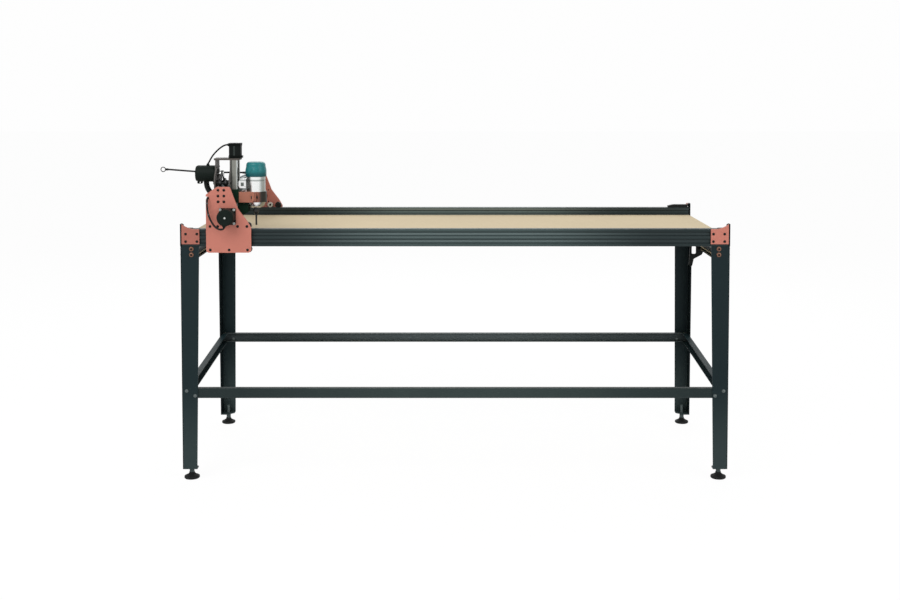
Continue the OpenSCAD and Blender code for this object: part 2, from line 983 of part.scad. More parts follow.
// Stepping motor on -Z of its flange face at the origin, with a through shaft hole
module drive_motor(l) {
    flange_t = 5;
    difference() {
        union() {
            linear_extrude(flange_t)
                difference() {
                    polygon(rounded(box_points(motor_w, motor_w, 3)));
                    for (x = [-1, 1], y = [-1, 1])
                        translate([x * motor_bolt, y * motor_bolt])
                            circle(screw_r + hole_gap);
                }
            translate([0, 0, flange_t - eps])
                cylinder(r = motor_can_r, h = l - flange_t - 6 + eps);
            translate([0, 0, l - 6 - eps])
                cylinder(r1 = motor_can_r, r2 = motor_can_r - 2, h = 4);
            translate([0, 0, l - 2 - 2 * eps])
                cylinder(r = motor_can_r - 3, h = 2 + eps);
        }
        translate([0, 0, -1])
            cylinder(r = shaft_r + run, h = l + 2);
    }
    for (x = [-1, 1], y = [-1, 1])
        translate([x * motor_bolt, y * motor_bolt, flange_t])
            motor_screw(flange_t + plate_t);
}

// Socket-head screw, head up, shank through flange and plate
module motor_screw(shank) {
    translate([0, 0, -shank])
        cylinder(r = screw_r, h = shank + eps);
    difference() {
        cylinder(r = 4.2, h = 5);
        translate([0, 0, 2.5])
            cylinder(r = 2.3, h = 3, $fn = 6);
    }
}

module gantry_motor() {
    on_gantry()
        translate([motor_x, -plate_y - plate_t, motor_z])
            rotate([90, 0, 0])
                drive_motor(motor_l);
}

module gantry_motor_front() {
    color(motor_black)
        gantry_motor();
}

module gantry_motor_back() {
    color(motor_black)
        mirror_y()
            gantry_motor();
}

// A tube swept along hand-set points, its ring carried from point to point without twist
function tangent(p, i) = unit(p[min(i + 1, len(p) - 1)] - p[max(i - 1, 0)]);
function carried(u, t) = unit(u - (u * t) * t);
function sides_of(p, up) =
    [for (i = 0, u = carried(up, tangent(p, 0)); i < len(p); i = i + 1, u = carried(u, tangent(p, min(i, len(p) - 1)))) u];

module tube(path, r, sides = 10, up = [0, 0, 1]) {
    n = len(path);
    us = sides_of(path, up);
    rings = [for (i = [0:n - 1])
        let (v = cross(tangent(path, i), us[i]))
        for (k = [0:sides - 1]) path[i] + r * (cos(360 * k / sides) * us[i] + sin(360 * k / sides) * v)];
    faces = concat(
        [[for (k = [0:sides - 1]) k]],
        [for (i = [0:n - 2], k = [0:sides - 1])
            [i * sides + k, (i + 1) * sides + k, (i + 1) * sides + (k + 1) % sides, i * sides + (k + 1) % sides]],
        [[for (k = [sides - 1:-1:0]) (n - 1) * sides + k]]
    );
    polyhedron(rings, faces);
}

cable_r = 3.2;
gland_z = 168; // top of the block that takes the cable's end
// From the motor's underside round to the left, up, and over into the notch: across and up from
// the plate's lower left corner, and back from its outer face
motor_cable_route = [
    [70, -44, 96.1], [70, -44, 91], [66, -43, 86.5], [59, -40, 84.5], [51, -37, 85], [42, -33, 89],
    [33, -29, 96.5], [25, -25, 107], [18, -22, 119], [12.5, -19, 132.5], [9, -17, 147], [7.5, -16, 160],
    [7, -15, 171], [7, -13.5, 180], [7, -9, 187], [7, -2, 189], [7, 6.5, 189], [7, 11, 184],
    [7, 12.5, 176], [7, 12.5, 168.3]
];

// Motor cable and the block on the plate's inner face that it ends in
module motor_cables() {
    color(rubber_black)
        both_y()
            on_gantry() {
                translate([0, -plate_y - plate_t, 0])
                    tube(motor_cable_route, cable_r, 10, [1, 0, 0]);
                difference() {
                    block([2, -plate_y, gland_z - 24], [16, -plate_y + 11, gland_z]);
                    rod_y([12, -plate_y - 1, gland_z - 19], 1.6, 13);
                }
            }
}

// Belt loop from one idler over the pulley to the other, as a closed outline:
// two arcs of radius ra about the idlers joined by tangents to an arc of radius rp
function loop_side(span, rise, ra, rp, off) =
    let (
        d = norm([span, rise]),
        lean = atan2(rise, span) + asin((ra + rp) / d)
    )
    concat(
        arc([-span, 0], ra - off, -90, lean - 90),
        arc([0, rise], rp + off, lean + 90, 90 - lean, 12),
        arc([span, 0], ra - off, 270 - lean, 270)
    );

module belt_loop(span, rise, ra, rp) {
    outer = loop_side(span, rise, ra, rp, belt_t / 2);
    inner = loop_side(span, rise, ra, rp, -belt_t / 2);
    n = len(inner);
    polygon(concat(outer, [for (i = [n - 1:-1:0]) inner[i]]));
}

belt_mid = belt_t / 2 + seat;
beam_clamp_l = 20;
beam_belt_z = beam_top - 3.8; // top of the beam's belt, under the wheels
beam_belt_half = plate_y - 2;

// The two loops over the drive pulleys, and the belt that lies in the beam's rear groove
module gantry_belts() {
    color(rubber_black) {
        both_y()
            on_gantry()
                translate([motor_x, 0, top_wheel_z])
                    sheet_y(wheel_y - belt_w / 2, belt_w)
                        belt_loop(idler_span, motor_z - top_wheel_z, idler_r + belt_mid, pulley_r + belt_mid);
        block(
            [beam_mid_x - groove_off - belt_w / 2, -beam_belt_half, beam_belt_z - belt_t],
            [beam_mid_x - groove_off + belt_w / 2, beam_belt_half, beam_belt_z]
        );
        both_y()
            block(
                [beam_mid_x - groove_off - belt_w / 2, -plate_y, beam_belt_z],
                [beam_mid_x - groove_off + belt_w / 2, -plate_y + 8, beam_top + 3]
            );
    }
}

// V wheel about the Z axis, its flanks at 45 degrees, with a shallow dish round the bearing
module v_wheel(r = wheel_r) {
    h = wheel_w / 2;
    f = wheel_flat / 2;
    shoulder = r - (h - f);
    bore = axle_r + run;
    dish = 0.8;
    rotate_extrude()
        polygon([
            [bore, -h], [bore + 1.8, -h], [bore + 2.1, dish - h], [shoulder - 1.9, dish - h],
            [shoulder - 1.4, -h], [shoulder, -h], [r, -f], [r, f],
            [shoulder, h], [shoulder - 1.4, h], [shoulder - 1.9, h - dish], [bore + 2.1, h - dish],
            [bore + 1.8, h], [bore, h]
        ]);
}

module wheel_pair(x, z) {
    color(rubber_black)
        both_y()
            on_gantry()
                translate([x, wheel_y, z])
                    rotate([90, 0, 0])
                        v_wheel();
}

module wheels_top_left() wheel_pair(top_wheel_x[0], top_wheel_z);
module wheels_top_right() wheel_pair(top_wheel_x[1], top_wheel_z);
module wheels_low_left() wheel_pair(low_wheel_x[0], low_wheel_z);
module wheels_low_middle() wheel_pair(low_wheel_x[1], low_wheel_z);
module wheels_low_right() wheel_pair(low_wheel_x[2], low_wheel_z);

module idler_pair(x) {
    color(brushed)
        both_y()
            on_gantry()
                translate([x, wheel_y, top_wheel_z])
                    rotate([90, 0, 0])
                        rotate_extrude()
                            polygon([
                                [axle_r + run, -idler_w / 2], [idler_r - 0.5, -idler_w / 2],
                                [idler_r, -idler_w / 2 + 0.5], [idler_r, idler_w / 2 - 0.5],
                                [idler_r - 0.5, idler_w / 2], [axle_r + run, idler_w / 2]
                            ]);
}

module idlers_left() idler_pair(idler_x[0]);
module idlers_right() idler_pair(idler_x[1]);

// Toothed pulley about Z, teeth centred on the origin, hub on -Z
module pulley(hub) {
    difference() {
        union() {
            linear_extrude(pulley_w, center = true)
                difference() {
                    circle(pulley_r);
                    for (i = [0:pulley_teeth - 1])
                        rotate(360 * i / pulley_teeth)
                            translate([pulley_r, 0])
                                circle(0.85, $fn = 16);
                }
            for (k = [-1, 1])
                translate([0, 0, k * (pulley_w / 2 + 0.5) - 0.5])
                    cylinder(r = flange_r, h = 1);
            translate([0, 0, -pulley_w / 2 - 1 - hub])
                cylinder(r = 7, h = hub + eps);
        }
        cylinder(r = shaft_r + 0.02, h = 60, center = true);
    }
}

// Pulley with its motor's shaft, which runs back through the motor to a stub behind it
module drive_shaft(front, l) {
    translate([0, 0, front - l])
        cylinder(r = shaft_r, h = l);
}

module drive_pulleys() {
    shaft_l = wheel_in + pulley_w / 2 + 2 + plate_t + motor_l + 1.5;
    color(brushed)
        both_y()
            on_gantry()
                translate([motor_x, wheel_y, motor_z])
                    rotate([-90, 0, 0]) {
                        pulley(7);
                        drive_shaft(pulley_w / 2 + 2, shaft_l);
                    }
}

// ---- carriage -------------------------------------------------------------------------------
carriage_holes = [[-1, -1], [1, -1], [-1, 1], [1, 1]];
wheel_low = beam_top - beam_h - axle_off;
wheel_top = beam_top + axle_off;

// Carriage plate in Y and Z: broad round the wheels, shouldered in to the width w above
module carriage_outline(w) {
    difference() {
        polygon(rounded([
            [-carriage_w / 2, carriage_z0, 8], [carriage_w / 2, carriage_z0, 8],
            [carriage_w / 2, shoulder_z, 8], [w / 2, shoulder_z + 26, 8], [w / 2, carriage_z1, 0],
            [-w / 2, carriage_z1, 0], [-w / 2, shoulder_z + 26, 8], [-carriage_w / 2, shoulder_z, 8]
        ]));
        for (k = [-1, 1], z = [wheel_low, wheel_top])
            translate([k * carriage_span, z])
                circle(axle_r + hole_gap);
    }
}

module carriage_rear_plate() {
    color(sheet_black)
        on_carriage()
            sheet_x(rear_plate_x - carriage_t, carriage_t)
                difference() {
                    carriage_outline(channel_w);
                    translate([0, x_motor_z])
                        circle(pilot_r);
                    for (y = [-1, 1], z = [-1, 1])
                        translate([y * motor_bolt, x_motor_z + z * motor_bolt])
                            circle(screw_r + hole_gap);
                }
}

module carriage_front_plate() {
    color(sheet_black)
        on_carriage()
            sheet_x(front_plate_x, carriage_t)
                carriage_outline(channel_w);
}

top_plate_x0 = rear_plate_x - carriage_t - 5;
top_plate_x1 = channel_x + channel_d + 8;

module carriage_top_plate() {
    color(sheet_black)
        on_carriage()
            translate([0, 0, carriage_z1])
                linear_extrude(top_plate_t)
                    difference() {
                        polygon(rounded([
                            [top_plate_x0, -channel_w / 2, 4], [top_plate_x1, -channel_w / 2, 4],
                            [top_plate_x1, channel_w / 2, 4], [top_plate_x0, channel_w / 2, 4]
                        ]));
                        translate([screw_x, 0])
                            circle(11.2);
                        translate([(rear_plate_x + front_plate_x) / 2, 0])
                            circle(9);
                    }
}

rear_wheel_x = beam_mid_x - groove_off;
front_wheel_x = beam_mid_x + groove_off;

// Spacer tube along X from x0 to x1
module spacer_x(x0, x1) {
    difference() {
        rod_x([x0, 0, 0], spacer_r, x1 - x0);
        rod_x([x0 - 1, 0, 0], axle_r + 0.02, x1 - x0 + 2);
    }
}

// Axle through both carriage plates, spacers between wheels and plates, lock nut behind
module carriage_axle() {
    h = wheel_w / 2 + end_gap;
    x0 = rear_plate_x - carriage_t - nut_h;
    button_screw_x([front_plate_x + carriage_t, 0, 0], front_plate_x + carriage_t - x0, 1);
    spacer_x(front_wheel_x + h, front_plate_x);
    spacer_x(rear_wheel_x + h, front_wheel_x - h);
    spacer_x(rear_plate_x, rear_wheel_x - h);
    translate([x0, 0, 0])
        rotate([0, 90, 0])
            nut(nut_h, axle_r);
}

module carriage_fasteners() {
    color(rubber_black)
        on_carriage()
            for (k = [-1, 1], z = [wheel_low, wheel_top])
                translate([0, k * carriage_span, z])
                    carriage_axle();
}

// Small tab with an eyelet under the motor's rear end
module cable_tab() {
    x = rear_plate_x - carriage_t - x_motor_l + 8;
    z = x_motor_z - motor_can_r;
    difference() {
        translate([0, -2, 0])
            rotate([90, 0, 0])
                translate([0, 0, -4])
                    linear_extrude(4)
                        polygon(rounded([
                            [x - 5, z + 6, 0], [x - 5, z - 7, 3], [x + 14, z - 7, 5], [x + 14, z + 6, 0]
                        ]));
        rod_y([x + 5, -4, z - 2.5], 2.2, 10);
        rod_x([x - 20, 0, x_motor_z], motor_can_r - eps, 60);
    }
}

module carriage_motor() {
    color(motor_black)
        on_carriage() {
            translate([rear_plate_x - carriage_t, 0, x_motor_z])
                rotate([0, -90, 0])
                    drive_motor(x_motor_l);
            cable_tab();
        }
}

module z_motor() {
    color(motor_black)
        on_carriage()
            translate([screw_x, 0, carriage_z1 + top_plate_t])
                difference() {
                    union() {
                        linear_extrude(9)
                            polygon(rounded(box_points(z_motor_w, z_motor_w, 4)));
                        translate([0, 0, 9 - eps])
                            linear_extrude(z_motor_l - 18 + 2 * eps)
                                polygon(rounded(box_points(z_motor_w - 1.6, z_motor_w - 1.6, 7)));
                        translate([0, 0, z_motor_l - 9])
                            linear_extrude(9)
                                polygon(rounded(box_points(z_motor_w, z_motor_w, 4)));
                        translate([0, 0, -2])
                            cylinder(r = 11, h = 2 + eps);
                    }
                    translate([0, 0, -3])
                        cylinder(r = 2.5 + run, h = 14);
                }
}

// Lipped channel that carries the Z slide, with the screw's foot bearing
module z_channel() {
    w = channel_w / 2;
    t = channel_t;
    color(polished)
        on_carriage() {
            translate([0, 0, channel_z0])
                linear_extrude(carriage_z1 - channel_z0)
                    polygon([
                        [channel_x, -w], [channel_x + channel_d, -w], [channel_x + channel_d, -w + t + channel_lip],
                        [channel_x + channel_d - 3, -w + t + channel_lip], [channel_x + channel_d - 3, -w + t],
                        [channel_x + t, -w + t], [channel_x + t, w - t], [channel_x + channel_d - 3, w - t],
                        [channel_x + channel_d - 3, w - t - channel_lip], [channel_x + channel_d, w - t - channel_lip],
                        [channel_x + channel_d, w], [channel_x, w]
                    ]);
            difference() {
                block([channel_x + t, -16, channel_z0], [channel_x + channel_d - 3, 16, channel_z0 + 9]);
                rod_z([screw_x, 0, channel_z0 - 1], screw_d / 2 + run, 12);
            }
        }
}

z_cable_r = 2.8;
// Arch from the Z motor's side over to the top of the carriage motor, from the Z motor's foot
z_cable_route = [
    [-21.45, 0, 46], [-27, 0, 46], [-34, 0, 45.2], [-43, 0, 41.5], [-52, 0, 35.5], [-61, 0, 28],
    [-70, 0, 19], [-78, 0, 9.5], [-85, 0, -1], [-91, 0, -12], [-95.5, 0, -20], [-96, 0, -25.2]
];
sleeve_r = 10;
// Sleeve from under the carriage motor down to the rear plate, from the motor's flange
sleeve_route = [
    [-36, 0, -28.8], [-36, 0, -35], [-34, 0, -46], [-29, 0, -57], [-22, 0, -66], [-13, 0, -72],
    [-6, 0, -74], [-0.3, 0, -74]
];

module carriage_cables() {
    color(rubber_black)
        on_carriage() {
            translate([screw_x, 0, carriage_z1 + top_plate_t])
                tube(z_cable_route, z_cable_r, 10, [0, 1, 0]);
            translate([rear_plate_x - carriage_t, 0, x_motor_z])
                tube(sleeve_route, sleeve_r, 12, [0, 1, 0]);
        }
}

module carriage_belt() {
    rise = x_motor_z - wheel_top;
    color(rubber_black)
        on_carriage()
            translate([0, 0, wheel_top])
                sheet_x(rear_wheel_x - belt_w / 2, belt_w)
                    belt_loop(carriage_span, rise, wheel_r + belt_mid, pulley_r + belt_mid);
}

module carriage_wheels(k, z) {
    color(rubber_black)
        on_carriage()
            for (x = [rear_wheel_x, front_wheel_x])
                translate([x, k * carriage_span, z])
                    rotate([0, 90, 0])
                        v_wheel();
}

module carriage_wheels_top_front() carriage_wheels(-1, wheel_top);
module carriage_wheels_top_back() carriage_wheels(1, wheel_top);
module carriage_wheels_low_front() carriage_wheels(-1, wheel_low);
module carriage_wheels_low_back() carriage_wheels(1, wheel_low);

module carriage_pulley() {
    reach = rear_wheel_x - rear_plate_x;
    color(brushed)
        on_carriage()
            translate([rear_wheel_x, 0, x_motor_z])
                rotate([0, 90, 0]) {
                    pulley(4);
                    drive_shaft(pulley_w / 2 + 2, reach + pulley_w / 2 + 2 + carriage_t + x_motor_l + 1.5);
                }
}

// Lead screw, its coupler and the motor shaft that turns it
module lead_screw() {
    coupler_z = carriage_z1 - coupler_h - 3;
    color(polished)
        on_carriage()
            translate([screw_x, 0, 0]) {
                rod_z([0, 0, channel_z0 + 1], screw_d / 2, coupler_z + 11 - channel_z0 - 1);
                difference() {
                    rod_z([0, 0, coupler_z], coupler_r, coupler_h);
                    rod_z([0, 0, coupler_z - 1], screw_d / 2 + 0.02, 12.02);
                    rod_z([0, 0, coupler_z + 11.5], 2.52, coupler_h);
                }
                rod_z([0, 0, coupler_z + 12], 2.5, carriage_z1 + top_plate_t + 9 - coupler_z - 12);
            }
}

// ---- Z slide --------------------------------------------------------------------------------
// Saddle round the channel, with the lead screw's nut inside and the nose bracket below
module z_saddle() {
    w = saddle_w / 2;
    nut_x0 = channel_x + channel_t + 1;
    nut_h = 18;
    color(sheet_black)
        on_carriage() {
            translate([0, 0, saddle_z0])
                linear_extrude(saddle_h)
                    polygon([
                        [channel_x + 5, -w], [saddle_x + saddle_t, -w], [saddle_x + saddle_t, w],
                        [channel_x + 5, w], [channel_x + 5, w - saddle_cheek], [saddle_x, w - saddle_cheek],
                        [saddle_x, -w + saddle_cheek], [channel_x + 5, -w + saddle_cheek]
                    ]);
            difference() {
                block([nut_x0, -14, saddle_z0 + saddle_h - nut_h], [saddle_x, 14, saddle_z0 + saddle_h]);
                rod_z([screw_x, 0, saddle_z0], screw_d / 2 + run + 0.03, saddle_h + 1);
            }
            nose_bracket();
        }
}

// Curved lower bracket that reaches from the saddle to the router's nose
module nose_bracket() {
    x0 = saddle_x;
    z1 = saddle_z0 - 0.05;
    difference() {
        translate([0, 22, 0])
            rotate([90, 0, 0])
                linear_extrude(44)
                    polygon(rounded([
                        [x0, z1, 0], [x0, z1 - 34, 10], [x0 + 16, z1 - 44, 12], [x0 + 34, z1 - 34, 10],
                        [x0 + 46, z1 - 30, 6], [x0 + 46, z1 - 6, 4], [x0 + 20, z1, 0]
                    ]));
        rod_z([router_x, 0, z1 - 60], barrel_r + seat, 70);
    }
}

clamp_x0 = saddle_x + saddle_t;

clamp_ear = 9;
clamp_seam = 1.2; // gap between the clamp's two halves

// Split clamp: square arms from the saddle to a half ring, and the front half that closes it
module router_clamp() {
    color(clamp_salmon)
        on_carriage()
            translate([0, 0, clamp_z0])
                difference() {
                    union() {
                        block([clamp_x0, -clamp_r, 0], [router_x, clamp_r, clamp_h]);
                        rod_z([router_x, 0, 0], clamp_r, clamp_h);
                        block(
                            [router_x - 7, -clamp_r - clamp_ear, 6],
                            [router_x + 7, clamp_r + clamp_ear, clamp_h - 6]
                        );
                    }
                    rod_z([router_x, 0, -1], barrel_r + run, clamp_h + 2);
                    translate([0, 0, -1])
                        linear_extrude(clamp_h + 2)
                            polygon(rounded([
                                [clamp_x0 + 5, -clamp_r + 6, 3], [router_x - barrel_r - 4, -clamp_r + 20, 3],
                                [router_x - barrel_r - 4, clamp_r - 20, 3], [clamp_x0 + 5, clamp_r - 6, 3]
                            ]));
                    block(
                        [router_x - clamp_seam / 2, -clamp_r - clamp_ear - 1, -1],
                        [router_x + clamp_seam / 2, clamp_r + clamp_ear + 1, clamp_h + 1]
                    );
                    for (k = [-1, 1])
                        rod_x([router_x - 20, k * (clamp_r + 4.5), clamp_h / 2], screw_r, 40);
                }
}

// Barrel: nose taper, ringed body, switch housing on the side that faces the channel
module router_barrel() {
    r = barrel_r;
    z = nose_z;
    color(polished)
        on_carriage() {
            difference() {
                translate([router_x, 0, 0])
                    rotate_extrude()
                        polygon([
                            [0, z], [17, z], [22, z + 2], [r - 5.5, z + 6], [r - 2.5, z + 12], [r, z + 20],
                            [r, barrel_z1 - 14], [r - 0.8, barrel_z1 - 13.5], [r - 0.8, barrel_z1 - 11],
                            [r, barrel_z1 - 10.5], [r, barrel_z1], [0, barrel_z1]
                        ]);
                rod_z([router_x, 0, z - 1], 8 + run, 13);
                translate([router_x - r - 30, -40, clamp_z0 + clamp_h + 8])
                    cube([30.6, 80, 50]);
            }
            switch_housing();
        }
}

housing_z0 = clamp_z0 + clamp_h + 12;
housing_z1 = housing_z0 + 32;
housing_x0 = router_x - barrel_r - 26;
housing_x1 = router_x - barrel_r + 0.6;
housing_w = 15;

module switch_housing() {
    difference() {
        translate([0, housing_w, 0])
            rotate([90, 0, 0])
                linear_extrude(2 * housing_w)
                    polygon(rounded([
                        [housing_x0, housing_z0, 8], [housing_x1, housing_z0, 0],
                        [housing_x1, housing_z1, 0], [housing_x0, housing_z1, 12]
                    ]));
        block(
            [housing_x0 + 8 - seat, -housing_w - 1, housing_z0 + 7 - seat],
            [housing_x0 + 18 + seat, -housing_w + 4, housing_z0 + 25 + seat]
        );
    }
}

// Slider that switches the router on, in the pocket of its housing
module power_switch() {
    color(rubber_black)
        on_carriage()
            difference() {
                block(
                    [housing_x0 + 8, -housing_w - 2, housing_z0 + 7],
                    [housing_x0 + 18, -housing_w + 4 - seat, housing_z0 + 19]
                );
                for (k = [0:3])
                    block(
                        [housing_x0 + 7, -housing_w - 3, housing_z0 + 9 + k * 2.4],
                        [housing_x0 + 19, -housing_w - 1.2, housing_z0 + 10 + k * 2.4]
                    );
            }
}

exit_a = 130; // direction of the lead's exit, from +X
lead_z = barrel_z1 + 9;
flutes = 10; // finger flutes round the cap

// Motor cap: shouldered drum with a rounded crown and the boss for the lead
module router_cap() {
    z = barrel_z1;
    color(teal)
        on_carriage()
            translate([router_x, 0, 0]) {
                difference() {
                    rotate_extrude()
                        polygon(concat(
                            [[0, z], [cap_r - 1, z], [cap_r, z + 2], [cap_r, z + 22], [cap_r - 3, z + 36]],
                            arc([cap_r - 14, z + cap_h - 11], 11, 5, 90),
                            [[0, z + cap_h]]
                        ));
                    for (i = [0:flutes - 1])
                        rotate(exit_a + (i + 0.5) * 360 / flutes)
                            rod_z([cap_r + 4, 0, z + 22], 6, cap_h);
                }
                translate([0, 0, lead_z])
                    rotate([0, 90, exit_a])
                        translate([0, 0, cap_r - 6])
                            cylinder(r1 = 8, r2 = 6, h = 12);
            }
}

// Collet nut, collet and cutter, on the spindle that turns in the nose
module collet_and_cutter() {
    z = nose_z;
    r = cutter_d / 2;
    color(rubber_black)
        on_carriage()
            translate([router_x, 0, 0])
                difference() {
                    union() {
                        rod_z([0, 0, z - 4], 8, 15.5);
                        translate([0, 0, z - 16])
                            cylinder(r = 10.5, h = 12, $fn = 6);
                        translate([0, 0, z - 23])
                            cylinder(r1 = 6, r2 = 8.5, h = 7.05);
                        rod_z([0, 0, tip_z], r, z - 22 - tip_z);
                    }
                    for (a = [0, 180])
                        rotate(a)
                            block([0, r * 0.35, tip_z - 1], [r + 1, r + 1, tip_z + 18]);
                }
}

// Route of the lead from the cap, past the back of the channel and the motor, to its hanger,
// from the router's axis at the lead's height
lead_route = [
    [-27.4, 32.7, 0], [-33, 39.4, 0], [-40, 46, 0], [-49, 52.5, 0], [-60, 58, 0], [-72, 62, 0],
    [-87, 64, 0], [-104, 64.5, 0], [-122, 64.5, 0], [-140, 64.5, 0], [-158, 64.5, 0], [-176, 64.5, 0.4],
    [-194, 64.5, 1.2], [-212, 64.5, 2.3], [-230, 64.5, 3.6], [-248, 64.5, 5], [-266, 64.5, 6.4],
    [-284, 64.5, 7.8], [-302, 64.5, 9.2], [-320, 64.5, 10.6]
];
hanger_r = 8;
hanger_wire = 1.5;

// Lead, and the ferrule and ring that hold its far end up
module router_lead() {
    end = lead_route[len(lead_route) - 1];
    color(rubber_black)
        on_carriage()
            translate([router_x, 0, lead_z]) {
                tube(lead_route, lead_d / 2, 8);
                rod_x(end - [10, 0, 0], lead_d / 2 + 1, 9.7);
                translate(end - [10 + hanger_r, 0, 0])
                    rotate([90, 0, 0])
                        rotate_extrude()
                            translate([hanger_r, 0])
                                circle(hanger_wire, $fn = 16);
            }
}

// ---- assembly -------------------------------------------------------------------------------
rail_front();
rail_back();
cross_beams();
spoilboard();
corner_plates();
end_plates();
leg_front_left();
leg_front_right();
leg_back_left();
leg_back_right();
stretcher_front();
stretcher_back();
side_rails();
frame_screws();
leg_bolts();
bed_belts();
belt_anchors();
cable_bracket();
foot_front_left();
foot_front_right();
foot_back_left();
foot_back_right();
gantry_plate_front();
gantry_plate_back();
gantry_beam();
gantry_fasteners();
gantry_motor_front();
gantry_motor_back();
motor_cables();
gantry_belts();
wheels_top_left();
wheels_top_right();
wheels_low_left();
wheels_low_middle();
wheels_low_right();
idlers_left();
idlers_right();
drive_pulleys();
carriage_rear_plate();
carriage_front_plate();
carriage_top_plate();
carriage_fasteners();
carriage_motor();
z_motor();
z_channel();
carriage_cables();
carriage_belt();
carriage_wheels_top_front();
carriage_wheels_top_back();
carriage_wheels_low_front();
carriage_wheels_low_back();
carriage_pulley();
lead_screw();
z_saddle();
router_clamp();
router_barrel();
router_cap();
power_switch();
collet_and_cutter();
router_lead();
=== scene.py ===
"""Gantry router table: finishes, belts, screws, cables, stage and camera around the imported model."""

import math

import bmesh
import bpy
import numpy as np
from bpy.props import FloatProperty, FloatVectorProperty, IntProperty, PointerProperty
from mathutils import Euler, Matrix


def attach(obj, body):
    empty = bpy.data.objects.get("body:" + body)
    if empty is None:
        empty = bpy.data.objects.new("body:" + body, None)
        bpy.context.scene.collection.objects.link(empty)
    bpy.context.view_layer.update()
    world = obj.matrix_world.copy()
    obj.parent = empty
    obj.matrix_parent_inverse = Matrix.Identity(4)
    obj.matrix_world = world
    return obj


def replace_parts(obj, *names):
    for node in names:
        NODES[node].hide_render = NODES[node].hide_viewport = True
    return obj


bl_info = {
    "name": "Gantry Router Table",
    "version": (1, 0, 0),
    "blender": (4, 5, 0),
    "location": "3D View > Sidebar > Router Table",
    "description": "Finishes, belts, screws, cables, stage and camera of a gantry router table",
    "category": "Object",
}

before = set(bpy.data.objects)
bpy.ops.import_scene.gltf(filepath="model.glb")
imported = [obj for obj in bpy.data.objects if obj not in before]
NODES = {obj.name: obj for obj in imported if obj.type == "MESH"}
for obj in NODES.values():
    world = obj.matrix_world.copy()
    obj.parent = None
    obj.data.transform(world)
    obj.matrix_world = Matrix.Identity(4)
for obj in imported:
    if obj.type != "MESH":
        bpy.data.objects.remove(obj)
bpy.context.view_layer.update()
TAU = 2 * math.pi
MM = 0.001


# ---- sizes and colours that a user may change ------------------------------------------------
def tone(red, green, blue):
    """Linear colour of a written 0-255 screen colour: c/12.92 below 0.04045, else the 2.4 power."""
    rgb = [c / 255 for c in (red, green, blue)]
    return [c / 12.92 if c <= 0.04045 else ((c + 0.055) / 1.055) ** 2.4 for c in rgb]


def colour(label, text, rgb):
    """A colour property whose default is given as a screen colour."""
    return FloatVectorProperty(name=label, description=text, default=tone(*rgb), size=3, subtype="COLOR", min=0, max=1)


class FinishSettings(bpy.types.PropertyGroup):
    """Colours of the finishes."""

    salmon: colour("Plates", "Coat of the gantry and corner plates", (184, 113, 98))
    clamp: colour("Clamp", "Coat of the router clamp", (162, 104, 84))
    # The clamp shade colour is painted shade on the clamp's closing half, where the ring turns away from the light,
    # not a worn coat.
    clamp_painted_shade: colour("Clamp shade", "Worn dark coat of the clamp's closing half", (28, 26, 18))
    rail: colour("Rails", "Anodised rails and beam", (61, 75, 75))
    powder: colour("Stand", "Powder coat of legs and stretchers", (24, 38, 41))
    stretcher: colour("Stretchers", "Powder coat of the lower stretchers", (51, 62, 61))
    sheet: colour("Sheet", "Coat of the carriage plates and brackets", (16, 19, 18))
    plate: colour("Carriage", "Dull anodised plates of the carriage", (92, 89, 86))
    saddle: colour("Saddle", "Coat of the saddle and the nose bracket", (18, 40, 28))
    board: colour("Board", "Sanded fibreboard", (204, 188, 157))
    motor: colour("Motors", "Paint of the motors", (22, 29, 26))
    rubber: colour("Rubber", "Belts, cables and feet", (12, 13, 13))
    steel: colour("Steel", "Ground steel of shafts, pulleys and screws", (214, 216, 214))
    zinc: colour("Channel", "Zinc coat of the Z channel", (130, 131, 124))
    barrel: colour("Barrel", "Bare aluminium of the router", (244, 247, 245))
    cap: colour("Cap", "Moulded motor cap", (30, 112, 115))
    copper: colour("Bolts", "Yellow chromate of the leg bolts", (126, 90, 72))


class DetailSettings(bpy.types.PropertyGroup):
    """Sizes of the small parts, in millimetres."""

    belt_pitch: FloatProperty(name="Belt pitch", description="From tooth to tooth", default=3, min=2, max=5)
    belt_tooth: FloatProperty(name="Belt tooth", description="Depth of a tooth", default=0.6, min=0.2, max=1)
    thread: FloatProperty(name="Thread", description="Lead of the lifting screw", default=2.5, min=1, max=8)
    sleeve_rib: FloatProperty(name="Sleeve rib", description="From rib to rib of the cable sleeve", default=3, min=1.5, max=6)
    relief: FloatProperty(name="Relief", description="Length of the lead's strain relief", default=38, min=20, max=60)
    turn: IntProperty(name="Steps", description="Steps round a small turned part", default=24, min=12, max=64)


class StageSettings(bpy.types.PropertyGroup):
    """Camera and light of the stage."""

    lens: FloatProperty(name="Lens", description="Focal length in millimetres", default=50, min=10, max=200)
    distance: FloatProperty(
        name="Distance", description="Camera to the middle of the stand", default=4.651, min=1, max=20, unit="LENGTH"
    )
    height: FloatProperty(name="Height", description="Camera above the floor", default=1.3805, min=0, max=5, unit="LENGTH")
    pitch: FloatProperty(
        name="Pitch", description="Downward tilt of the camera", default=math.radians(3), min=-1.5, max=1.5, subtype="ANGLE"
    )
    level: FloatProperty(name="Light", description="Strength of the light all round", default=0.95, min=0, max=5)


